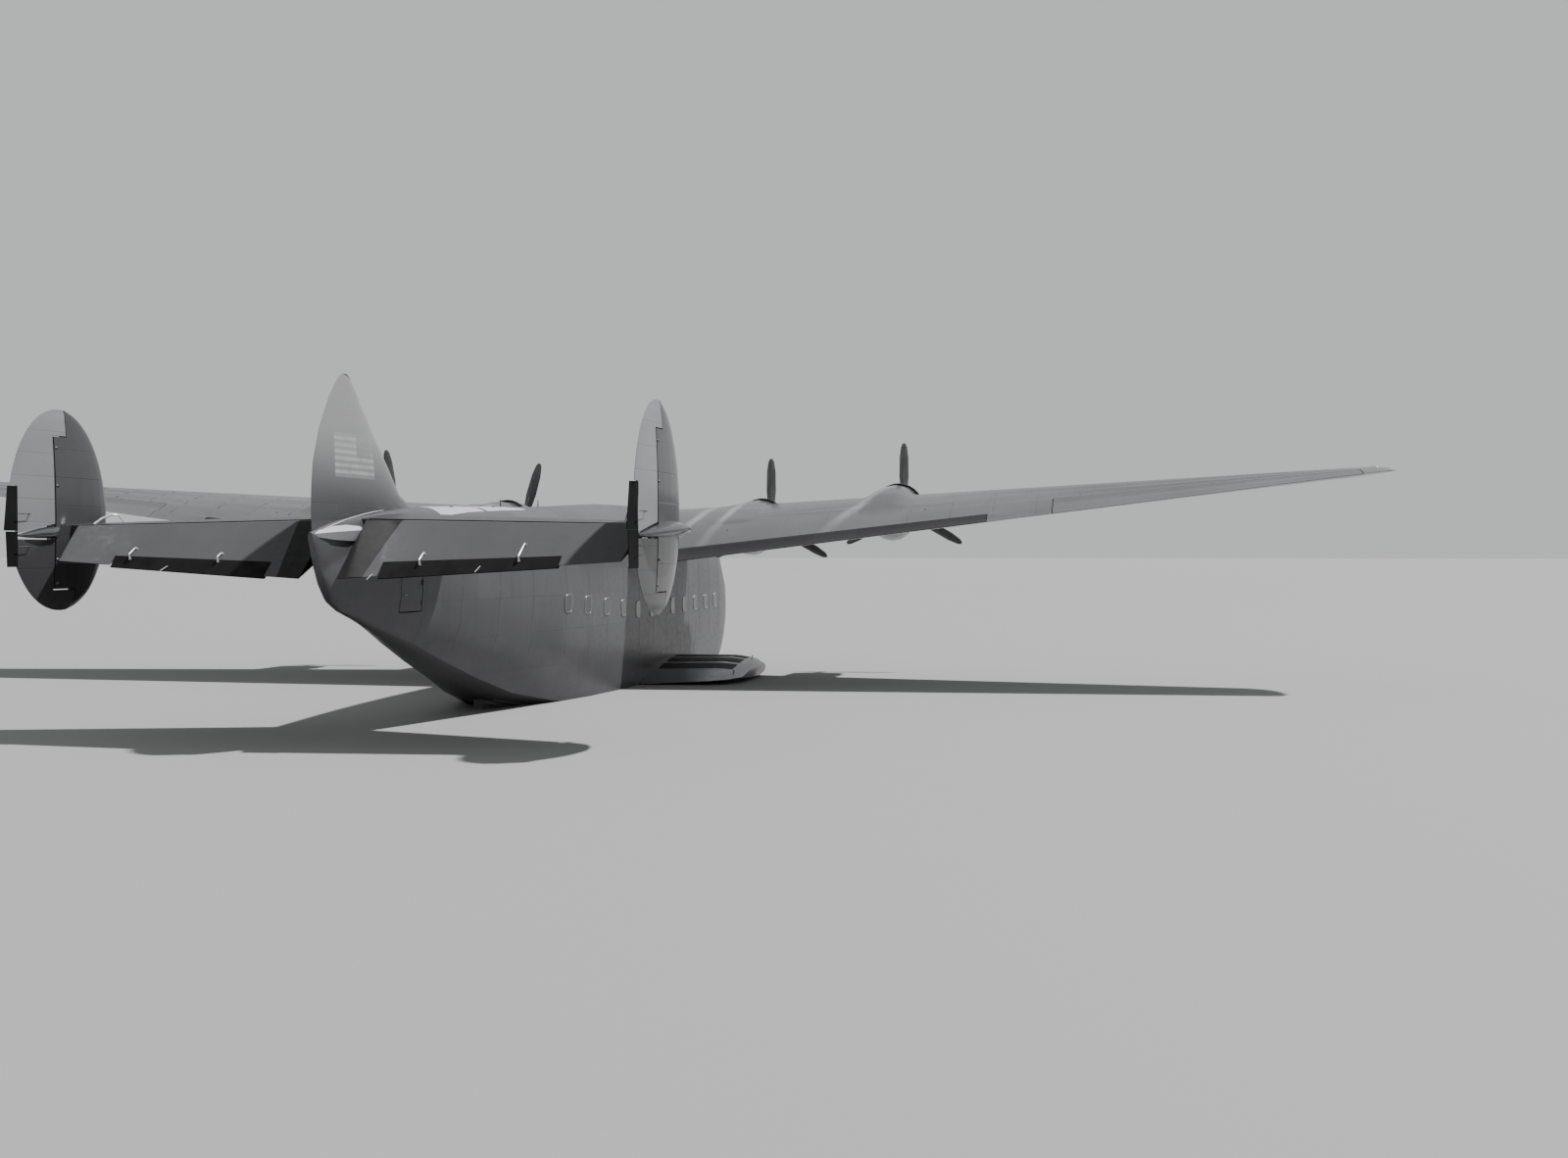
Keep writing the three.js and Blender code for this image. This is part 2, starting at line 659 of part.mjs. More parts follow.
function engineShape(engine, side) {
  let body = onThrustLine(turned(CRANKCASE_PROFILE, 16), engine, side);
  const length = CYLINDERS.outer - CYLINDERS.inner;
  for (const row of CYLINDER_ROWS) {
    for (let i = 0; i < CYLINDERS.perRow; i += 1) {
      const radius = mm(CYLINDERS.radius);
      const barrel = new THREE.CylinderGeometry(radius * 0.9, radius, mm(length), 6);
      barrel.translate(0, mm(CYLINDERS.inner + length / 2), 0);
      barrel.rotateX(Math.PI / 2);
      barrel.rotateY((i / CYLINDERS.perRow) * 2 * Math.PI + row.turn);
      barrel.translate(0, mm(row.aft), 0);
      body = body.add(onThrustLine(barrel, engine, side));
    }
  }
  return body;
}

// Propeller blade sections. Columns: radius fraction, chord, thickness, pitch in degrees.
const BLADE_SECTIONS = [
  [0.06, 0.16, 0.15, 58],
  [0.15, 0.18, 0.14, 56],
  [0.27, 0.28, 0.09, 46],
  [0.5, 0.34, 0.055, 34],
  [0.8, 0.3, 0.035, 25],
  [0.95, 0.2, 0.025, 21],
  [1.0, 0.08, 0.016, 21],
];
const BLADE_COLUMNS = ['fraction', 'chord', 'thickness', 'pitch'];
const BLADE_POINTS = 8;
const BLADES = 3;
const HUB_PROFILE = [
  [-0.3, 0],
  [-0.29, 0.05],
  [-0.2, 0.085],
  [-0.06, 0.1],
  [-0.05, 0.17],
  [0.1, 0.17],
  [0.12, 0.09],
  [SHAFT_SEAT - metres(SEAT_GAP), 0.085],
  [SHAFT_SEAT - metres(SEAT_GAP), 0],
];
// Angle of the upright blade from straight up, in degrees toward port, as parked.
const PARKED = { port: { inner: -16, outer: 8.5 }, starboard: { inner: 0, outer: 0 } };

function bladeGeometry() {
  const rings = BLADE_SECTIONS.map((values) => {
    const row = asRow(values, BLADE_COLUMNS);
    const pitch = radians(row.pitch);
    const ring = [];
    for (let i = 0; i < BLADE_POINTS; i += 1) {
      const angle = (i / BLADE_POINTS) * 2 * Math.PI;
      const chordwise = (row.chord / 2) * Math.cos(angle);
      const across = (row.thickness / 2) * Math.sin(angle);
      ring.push(new THREE.Vector3(
        mm(chordwise * Math.cos(pitch) - across * Math.sin(pitch)),
        mm(chordwise * Math.sin(pitch) + across * Math.cos(pitch)),
        mm(row.fraction * PROPELLER_RADIUS),
      ));
    }
    return ring;
  });
  return geometryOf(loft(rings));
}

function propellerShape(engine, side, parked) {
  let body = onThrustLine(turned(HUB_PROFILE, 14), engine, side);
  for (let i = 0; i < BLADES; i += 1) {
    const blade = bladeGeometry();
    blade.rotateY(radians(parked) + (i / BLADES) * 2 * Math.PI);
    body = body.add(onThrustLine(blade, engine, side));
  }
  return body;
}

function buildEngines(side, label) {
  for (const engine of ENGINES) {
    const name = `${engine.place}_${label}`;
    addPart(`nacelle_${name}`, nacelleShape(engine, side), 'silver');
    addPart(`cowl_${name}`, onThrustLine(closedTurned(COWL_PROFILE, COWL_SEGMENTS), engine, side), 'cowl');
    addPart(`engine_${name}`, engineShape(engine, side), 'engine');
    addPart(`propeller_${name}`, propellerShape(engine, side, PARKED[label][engine.place]), 'blade');
  }
}

// Room ahead of an elevator's nose in mm; its lower skin swings forward when it hangs down.
const ELEVATOR_GAP = 18;

// Stabiliser with its elevator, as one foil from the leading edge to the elevator's trailing edge.
// Columns: side, leading and trailing station, rise to the leading edge, thickness ratio.
const STABILISER_SECTIONS = [
  [0.0, 26.95, LENGTH, 0.15, 0.13],
  [6.42, 28.85, 31.57, 0.1, 0.11],
];
const STABILISER_COLUMNS = ['side', 'lead', 'trail', 'rise', 'ratio'];
const ELEVATOR = { innerHinge: 0.36, outerHinge: 6.2, innerTrail: 0.42, outerTrail: 5.9 };

// Elevator tab: its two ends, with the hinge's station and half thickness, and how far it hangs.
const ELEVATOR_TAB = [
  { side: 1.2, hinge: 31.76, half: 0.066 },
  { side: 4.8, hinge: 31.48, half: 0.042 },
];
const TAB_DROP = 0.05;
const TAB_EDGE = 0.02;
const TAB_END_GAP = 0.01;

// A box that holds the stabiliser, for cutting it off at the hinge.
const TAIL_ROOM = { half: 7, forward: 26, low: 3.5, high: 5.5 };

function stabiliserRow(side) {
  const [a, b] = STABILISER_SECTIONS.map((values) => asRow(values, STABILISER_COLUMNS));
  const t = side / b.side;
  return Object.fromEntries(STABILISER_COLUMNS.map((column) => [column, blend(a[column], b[column], t)]));
}

// Height of a section's chord line at a station; every section passes through the hinge.
const stabiliserLine = (row, station) => (
  STABILISER_HEIGHT + ((ELEVATOR_HINGE - station) / (row.trail - row.lead)) * row.rise
);

function elevatorNose(inner, outer, side, grow) {
  return spindle(NOSE_STEPS.map((t) => {
    const end = blend(inner, outer, t);
    const row = stabiliserRow(end);
    const chord = row.trail - row.lead;
    const fraction = (ELEVATOR_HINGE - row.lead) / chord;
    return {
      centre: place(side * end, ELEVATOR_HINGE, STABILISER_HEIGHT),
      radius: mm(foilHalf(fraction, row.ratio) * chord) * HINGE_SINK + grow,
    };
  }), 'x');
}

function stabiliserHalf(side, grow = 0) {
  const rings = STABILISER_SECTIONS.map((values) => {
    const row = asRow(values, STABILISER_COLUMNS);
    const chord = row.trail - row.lead;
    return foil(chord, row.ratio + (2 * grow) / chord).map(([u, w]) => {
      const station = row.lead - grow + u * (chord + 2 * grow);
      return place(side * row.side, station, stabiliserLine(row, station) + w * chord);
    });
  });
  return loft(rings);
}

// The fixed stabiliser on both sides, ahead of the elevator hinge.
function stabiliserShape(grow = 0) {
  const ahead = block([-TAIL_ROOM.half, TAIL_ROOM.forward, TAIL_ROOM.low], [
    TAIL_ROOM.half,
    ELEVATOR_HINGE + grow,
    TAIL_ROOM.high,
  ]);
  const halves = [PORT, STARBOARD].map((side) => stabiliserHalf(side, grow));
  return union(halves).intersect(ahead);
}

function buildStabiliser() {
  const gap = metres(RUN_GAP);
  const ends = [ELEVATOR.innerHinge - gap, ELEVATOR.outerHinge + gap];
  const noses = [PORT, STARBOARD].map((side) => elevatorNose(...ends, side, ELEVATOR_GAP));
  let fixed = stabiliserShape().subtract(union(noses));
  for (const side of [PORT, STARBOARD]) {
    fixed = fixed.subtract(finShape(side, metres(SEAT_GAP)));
  }
  addPart('stabiliser', fixed, 'silver');
}

// Station of the tab's hinge line at a side.
function tabHinge(end) {
  const [inner, outer] = ELEVATOR_TAB;
  return blend(inner.hinge, outer.hinge, (end - inner.side) / (outer.side - inner.side));
}

function elevatorShape(side) {
  const outline = [
    [side * ELEVATOR.innerHinge, ELEVATOR_HINGE],
    [side * ELEVATOR.outerHinge, ELEVATOR_HINGE],
    [side * ELEVATOR.outerTrail, LENGTH + 0.2],
    [side * ELEVATOR.innerTrail, LENGTH + 0.2],
  ];
  const nose = elevatorNose(ELEVATOR.innerHinge, ELEVATOR.outerHinge, side, 0);
  const reach = metres(RUN_GAP - SEAT_GAP);
  const pins = spindle([ELEVATOR.innerHinge - reach, ELEVATOR.outerHinge + reach].map((end) => ({
    centre: place(side * end, ELEVATOR_HINGE, STABILISER_HEIGHT),
    radius: PIN_RADIUS,
  })), 'x', 12);
  const tabEnds = [ELEVATOR_TAB[0].side - TAB_END_GAP, ELEVATOR_TAB[1].side + TAB_END_GAP];
  const tabRoom = planPrism([
    ...tabEnds.map((end) => [side * end, tabHinge(end)]),
    ...tabEnds.reverse().map((end) => [side * end, LENGTH + 0.3]),
  ], TAIL_ROOM.low, TAIL_ROOM.high);
  const aft = stabiliserHalf(side).intersect(planPrism(outline, TAIL_ROOM.low, TAIL_ROOM.high));
  return union([aft, nose, pins]).subtract(tabRoom);
}

function elevatorTabShape(side) {
  return loft(ELEVATOR_TAB.map((end) => {
    const row = stabiliserRow(end.side);
    const front = end.hinge + metres(SEAT_GAP);
    return [
      [front, end.half],
      [front, -end.half],
      [row.trail, -TAB_DROP - TAB_EDGE],
      [row.trail, -TAB_DROP],
    ].map(([station, above]) => place(side * end.side, station, stabiliserLine(row, station) + above));
  }));
}

// The elevators hang on their lower stop, so each is turned down about its hinge.
function buildElevator(side, label) {
  const hinge = place(0, ELEVATOR_HINGE, STABILISER_HEIGHT);
  const swing = new THREE.Group();
  swing.position.copy(hinge);
  swing.rotation.x = -radians(ELEVATOR_DROOP_DEG);
  const content = new THREE.Group();
  content.position.copy(hinge).negate();
  swing.add(content);
  aircraft.add(swing);
  addPart(`elevator_${label}`, elevatorShape(side), 'fabric', content);
  addPart(`elevator_tab_${label}`, elevatorTabShape(side), 'tab', content);
}

// Outer fins: an ellipse in side view with different reach above and below its centre.
const FIN = { station: 30.67, height: 4.65, reach: 1.7, above: 2.27, below: 1.98, ratio: 0.082 };
const FIN_LEVELS = [-0.985, -0.9, -0.75, -0.5, -0.2, 0.2, 0.5, 0.75, 0.9, 0.985];

function finRow(level) {
  const spread = Math.sqrt(1 - level ** 2) * FIN.reach;
  return {
    height: FIN.height + level * (level > 0 ? FIN.above : FIN.below),
    lead: FIN.station - spread,
    trail: FIN.station + spread,
  };
}

function finRing(row, side, ratio, grow) {
  const chord = row.trail - row.lead + 2 * grow;
  return foil(chord, ratio + (2 * grow) / chord).map(([u, w]) => place(
    side + w * chord,
    row.lead - grow + u * chord,
    row.height,
  ));
}

function finShape(side, grow = 0) {
  return loft(FIN_LEVELS.map((level) => finRing(finRow(level), side * FIN_SIDE, FIN.ratio, grow)));
}

// Rudder outlines in side view; the horns reach ahead of the hinge at the top and bottom.
const HORN = { topHeight: 6.36, topStation: 30.54, bottomHeight: 3.1, bottomStation: 30.27 };
// The split passes the tip fairing: the upper half's edge slopes down to the tab's hinge.
const RUDDER_SPLIT = { upper: 4.5, upperTrail: 4.29, lower: 4.165 };

// Servo tabs stand in a notch aft of this station. Heights, then the chord at each height.
const TAB_HINGE = 32.1;
const RUDDER_TABS = {
  upper: { low: 4.34, high: 5.25, lowChord: 0.4, highChord: 0.28 },
  lower: { low: 3.6, high: 4.32, lowChord: 0.3, highChord: 0.34 },
};
const RUDDER_TAB = { frontHalf: 0.03, backHalf: 0.008, endGap: 0.015 };

// Parked turn of the tabs, trailing edge to port, in degrees.
const TAB_TURN = { port: 0, starboard: 14 };
const RUDDER_HALVES = {
  upper: [
    [RUDDER_HINGE, RUDDER_SPLIT.upper],
    [RUDDER_HINGE, HORN.topHeight],
    [HORN.topStation, HORN.topHeight],
    [HORN.topStation, 7.2],
    [33, 7.2],
    [33, RUDDER_TABS.upper.high + RUDDER_TAB.endGap],
    [TAB_HINGE, RUDDER_TABS.upper.high + RUDDER_TAB.endGap],
    [TAB_HINGE, RUDDER_SPLIT.upperTrail],
  ],
  lower: [
    [RUDDER_HINGE, RUDDER_SPLIT.lower],
    [RUDDER_HINGE, HORN.bottomHeight],
    [HORN.bottomStation, HORN.bottomHeight],
    [HORN.bottomStation, 2.4],
    [33, 2.4],
    [33, RUDDER_TABS.lower.low - RUDDER_TAB.endGap],
    [TAB_HINGE, RUDDER_TABS.lower.low - RUDDER_TAB.endGap],
    [TAB_HINGE, RUDDER_SPLIT.lower],
  ],
};
const RUDDER_NOSE = { low: 3.1, high: 6.36 };
const TORQUE_TUBE_RADIUS = 16;

// The tube that joins the two halves of a rudder through the tip fairing.
function torqueTube(side, low, high, grow) {
  return spindle([low, high].map((height) => ({
    centre: place(side * FIN_SIDE, RUDDER_HINGE, height),
    radius: TORQUE_TUBE_RADIUS + grow,
  })), 'z', 16);
}

// The fixed fin is what lies ahead of the rudder and of its horns.
function finKeepRegion() {
  const gap = metres(RUN_GAP);
  return [
    [28.5, 2.4],
    [HORN.bottomStation - gap, 2.4],
    [HORN.bottomStation - gap, HORN.bottomHeight + gap],
    [RUDDER_HINGE, HORN.bottomHeight + gap],
    [RUDDER_HINGE, HORN.topHeight - gap],
    [HORN.topStation - gap, HORN.topHeight - gap],
    [HORN.topStation - gap, 7.2],
    [28.5, 7.2],
  ];
}

function rudderNose(side, low, high, grow) {
  const levels = NOSE_STEPS.map((t) => blend(low, high, t));
  return spindle(levels.map((height) => {
    const reach = height > FIN.height ? FIN.above : FIN.below;
    const spread = Math.sqrt(1 - ((height - FIN.height) / reach) ** 2) * FIN.reach;
    const fraction = (RUDDER_HINGE - FIN.station + spread) / (2 * spread);
    return {
      centre: place(side * FIN_SIDE, RUDDER_HINGE, height),
      radius: mm(foilHalf(fraction, FIN.ratio) * 2 * spread) * HINGE_SINK + grow,
    };
  }), 'z', 14);
}

function buildFin(side, label) {
  const whole = finShape(side);
  const [inner, outer] = [side * (FIN_SIDE - 0.4), side * (FIN_SIDE + 0.4)];
  const cove = rudderNose(side, RUDDER_NOSE.low, RUDDER_NOSE.high, RUN_GAP);
  const fixed = whole.intersect(sidePrism(finKeepRegion(), inner, outer)).subtract(cove);
  addPart(`fin_${label}`, fixed, 'silver');
  const ends = {
    upper: [RUDDER_SPLIT.upper, RUDDER_NOSE.high],
    lower: [RUDDER_NOSE.low, RUDDER_SPLIT.lower],
  };
  const halves = Object.entries(RUDDER_HALVES).map(([half, outline]) => (
    whole.intersect(sidePrism(outline, inner, outer)).add(rudderNose(side, ...ends[half], 0))
  ));
  const tube = torqueTube(side, RUDDER_SPLIT.lower + metres(SEAT_GAP), RUDDER_SPLIT.upper + 0.1, 0);
  addPart(`rudder_upper_${label}`, halves[0].add(tube), 'silver');
  addPart(`rudder_lower_${label}`, halves[1], 'silver');
  buildRudderTabs(side, label);
}

function buildRudderTabs(side, label) {
  const turn = radians(TAB_TURN[label]);
  const front = TAB_HINGE + metres(SEAT_GAP);
  const centre = side * FIN_SIDE;
  for (const [half, tab] of Object.entries(RUDDER_TABS)) {
    const ends = [[tab.low, tab.lowChord], [tab.high, tab.highChord]];
    const plate = loft(ends.map(([height, chord]) => {
      const [back, shift] = [front + chord * Math.cos(turn), chord * Math.sin(turn)];
      return [
        place(centre - RUDDER_TAB.frontHalf, front, height),
        place(centre + RUDDER_TAB.frontHalf, front, height),
        place(centre + shift + RUDDER_TAB.backHalf, back, height),
        place(centre + shift - RUDDER_TAB.backHalf, back, height),
      ];
    }));
    addPart(`rudder_tab_${half}_${label}`, plate, 'tab');
  }
}

// Pointed fairing that closes the stabiliser's end and runs aft between the rudder halves.
// Columns: station, reach outboard and inboard of the fin's middle, top and bottom height.
const FAIRING_SECTIONS = [
  [28.8, 0.02, 0.02, 4.39, 4.35],
  [29.1, 0.26, 0.03, 4.44, 4.29],
  [29.6, 0.46, 0.03, 4.5, 4.23],
  [30.2, 0.57, 0.03, 4.54, 4.2],
  [30.6, 0.56, 0.03, 4.51, 4.19],
  [31.0, 0.48, 0.22, 4.45, 4.19],
  [31.4, 0.36, 0.2, 4.39, 4.19],
  [31.8, 0.17, 0.12, 4.31, 4.2],
  [32.04, 0.03, 0.03, 4.26, 4.22],
];
const FAIRING_COLUMNS = ['station', 'outboard', 'inboard', 'top', 'bottom'];
const FAIRING_POINTS = 20;

function fairingShape(side) {
  return loft(FAIRING_SECTIONS.map((values) => {
    const row = asRow(values, FAIRING_COLUMNS);
    const ring = [];
    for (let i = 0; i < FAIRING_POINTS; i += 1) {
      const angle = ((i + 0.5) / FAIRING_POINTS) * 2 * Math.PI;
      const out = Math.cos(angle) * (Math.cos(angle) > 0 ? row.outboard : row.inboard);
      const up = (Math.sin(angle) * (row.top - row.bottom)) / 2;
      ring.push(place(side * (FIN_SIDE + out), row.station, (row.top + row.bottom) / 2 + up));
    }
    return ring;
  }));
}

function buildTipFairing(side, label) {
  const bore = torqueTube(side, RUDDER_SPLIT.lower, RUDDER_SPLIT.upper, SEAT_GAP + 0.1);
  const fairing = fairingShape(side).subtract(finShapeAhead(side)).subtract(bore);
  addPart(`stabiliser_tip_${label}`, fairing, 'silver');
}

const finShapeAhead = (side) => finShape(side, metres(SEAT_GAP)).intersect(
  sidePrism(finKeepRegion(), side * (FIN_SIDE - 0.4), side * (FIN_SIDE + 0.4)),
);

// Centre fin. Columns: height, leading and trailing station, thickness ratio.
const CENTRE_FIN_SECTIONS = [
  [4.3, 26.2, 32.27, 0.07],
  [4.75, 27.2, 32.28, 0.08],
  [5.15, 28.13, 32.27, 0.085],
  [5.66, 28.64, 32.2, 0.085],
  [6.35, 29.39, 31.93, 0.085],
  [7.0, 30.06, 31.5, 0.085],
  [7.32, 30.36, 31.2, 0.085],
  [7.5, 30.58, 30.98, 0.08],
  [7.55, 30.7, 30.86, 0.08],
];
const CENTRE_FIN_COLUMNS = ['height', 'lead', 'trail', 'ratio'];

function buildCentreFin() {
  const fin = loft(CENTRE_FIN_SECTIONS.map((values) => {
    const row = asRow(values, CENTRE_FIN_COLUMNS);
    return finRing(row, 0, row.ratio, 0);
  }));
  const gap = metres(SEAT_GAP);
  addPart('centre_fin', fin.subtract(hullShape(gap)).subtract(stabiliserShape(gap)), 'silver');
}

// Flat pads on the hull's sides for the beaching gear, and the mooring bitt on the bow.
const BEACHING_PAD = { inner: 1.9056, outer: 1.95, forward: 8.75, aft: 9.35, low: -0.3, high: 0.3 };
const BITT = { station: 1.45, top: 3.98, root: 3.4, radius: 0.06 };
const BITT_BAR = { half: 0.2, height: 3.88, radius: 0.03 };

function buildBeachingPad(side, label) {
  const pad = block(
    [side * BEACHING_PAD.inner, BEACHING_PAD.forward, BEACHING_PAD.low],
    [side * BEACHING_PAD.outer, BEACHING_PAD.aft, BEACHING_PAD.high],
  );
  addPart(`beaching_pad_${label}`, pad, 'steel');
}

function buildBitt() {
  const post = spindle([BITT.root, BITT.top].map((height) => ({
    centre: place(0, BITT.station, height),
    radius: mm(BITT.radius),
  })), 'z', 16);
  const bar = spindle([-BITT_BAR.half, BITT_BAR.half].map((reach) => ({
    centre: place(reach, BITT.station, BITT_BAR.height),
    radius: mm(BITT_BAR.radius),
  })), 'x', 10);
  addPart('mooring_bitt', post.add(bar).subtract(hullShape(metres(SEAT_GAP))), 'steel');
}

buildHull();
buildBitt();
buildCentreFin();
buildStabiliser();
for (const [side, label] of [[PORT, 'port'], [STARBOARD, 'starboard']]) {
  buildWing(side, label);
  buildSponson(side, label);
  buildBeachingPad(side, label);
  buildEngines(side, label);
  buildElevator(side, label);
  buildFin(side, label);
  buildTipFairing(side, label);
}

export default aircraft;
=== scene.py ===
"""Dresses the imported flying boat: smooth skins, painted metal, plating, engines and fittings.

Lengths are metres in the part's own frame. Tables marked full size hold side (port is positive),
station aft of the nose and height above the water, which place() turns into the part's frame.
"""

import json
import logging
import math
from dataclasses import dataclass, replace
from enum import Enum

import bmesh
import bpy
from mathutils import Matrix, Vector
from mathutils.bvhtree import BVHTree

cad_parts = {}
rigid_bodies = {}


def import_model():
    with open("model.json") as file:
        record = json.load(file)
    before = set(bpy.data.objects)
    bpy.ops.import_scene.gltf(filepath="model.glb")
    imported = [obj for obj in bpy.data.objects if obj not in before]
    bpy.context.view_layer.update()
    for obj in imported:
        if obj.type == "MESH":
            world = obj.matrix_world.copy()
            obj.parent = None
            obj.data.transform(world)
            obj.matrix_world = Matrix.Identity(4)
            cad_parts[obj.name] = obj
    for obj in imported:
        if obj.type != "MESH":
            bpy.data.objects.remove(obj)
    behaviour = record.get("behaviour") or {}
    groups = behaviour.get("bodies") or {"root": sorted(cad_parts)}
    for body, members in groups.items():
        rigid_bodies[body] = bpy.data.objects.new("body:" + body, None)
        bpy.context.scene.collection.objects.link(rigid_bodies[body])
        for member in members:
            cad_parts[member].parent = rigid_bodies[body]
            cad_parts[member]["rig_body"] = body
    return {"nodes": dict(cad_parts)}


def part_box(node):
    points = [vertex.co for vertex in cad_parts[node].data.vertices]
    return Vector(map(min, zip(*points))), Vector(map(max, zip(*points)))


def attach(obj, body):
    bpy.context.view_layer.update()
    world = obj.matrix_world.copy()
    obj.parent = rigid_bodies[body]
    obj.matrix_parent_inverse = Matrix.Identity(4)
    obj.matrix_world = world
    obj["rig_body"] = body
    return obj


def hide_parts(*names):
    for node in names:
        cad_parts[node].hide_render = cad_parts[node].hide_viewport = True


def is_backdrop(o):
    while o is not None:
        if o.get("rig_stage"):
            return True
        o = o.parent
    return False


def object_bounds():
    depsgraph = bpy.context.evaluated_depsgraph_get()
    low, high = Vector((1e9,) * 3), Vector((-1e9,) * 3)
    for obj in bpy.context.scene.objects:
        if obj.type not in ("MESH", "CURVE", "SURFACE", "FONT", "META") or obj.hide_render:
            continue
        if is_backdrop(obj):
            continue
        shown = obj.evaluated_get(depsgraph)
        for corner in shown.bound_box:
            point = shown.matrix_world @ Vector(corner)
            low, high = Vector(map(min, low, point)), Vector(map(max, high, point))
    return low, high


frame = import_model()
cad_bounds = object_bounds()
log = logging.getLogger("flying_boat")

MODEL_SCALE = 0.5
ORIGIN_STATION = 15.2
MERGE_DISTANCE = 1e-5
AIRFRAME = "airframe"
UP = Vector((0, 0, 1))
DOWN = Vector((0, 0, -1))
AFT = Vector((0, 1, 0))
EVEN = (1.0, 1.0, 1.0)
SMOOTH_ANGLE = 30.0


def place(side: float, station: float, height: float) -> Vector:
    """Turns a full-size place into the part's frame.

    Args:
        side: Distance to port of the centre line.
        station: Distance aft of the nose.
        height: Height above the water.

    Returns:
        The point in model metres.
    """
    return Vector((side, station - ORIGIN_STATION, height)) * MODEL_SCALE


class Side(Enum):
    """The two sides of the aircraft, as the sign of X."""

    PORT = 1
    STARBOARD = -1

    @property
    def label(self) -> str:
        """Name used in node names."""
        return self.name.lower()


class Slot(Enum):
    """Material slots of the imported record."""

    SILVER = "silver_paint"
    FABRIC = "doped_fabric"
    TAB = "tab_paint"
    BOTTOM = "bottom_paint"
    COWL = "cowl_metal"
    ENGINE = "engine_metal"
    PROPELLER = "propeller_metal"
    GLASS = "glazing"
    STEEL = "steel"


# Materials


class NodeTree:
    """A node tree under construction."""

    tree: bpy.types.NodeTree

    def add(self, kind: str, **settings: object) -> bpy.types.Node:
        """Adds a node and sets its own properties."""
        node = self.tree.nodes.new(kind)
        for key, value in settings.items():
            setattr(node, key, value)
        return node

    def link(self, source: bpy.types.NodeSocket, target: bpy.types.NodeSocket) -> None:
        """Links two sockets."""
        self.tree.links.new(source, target)


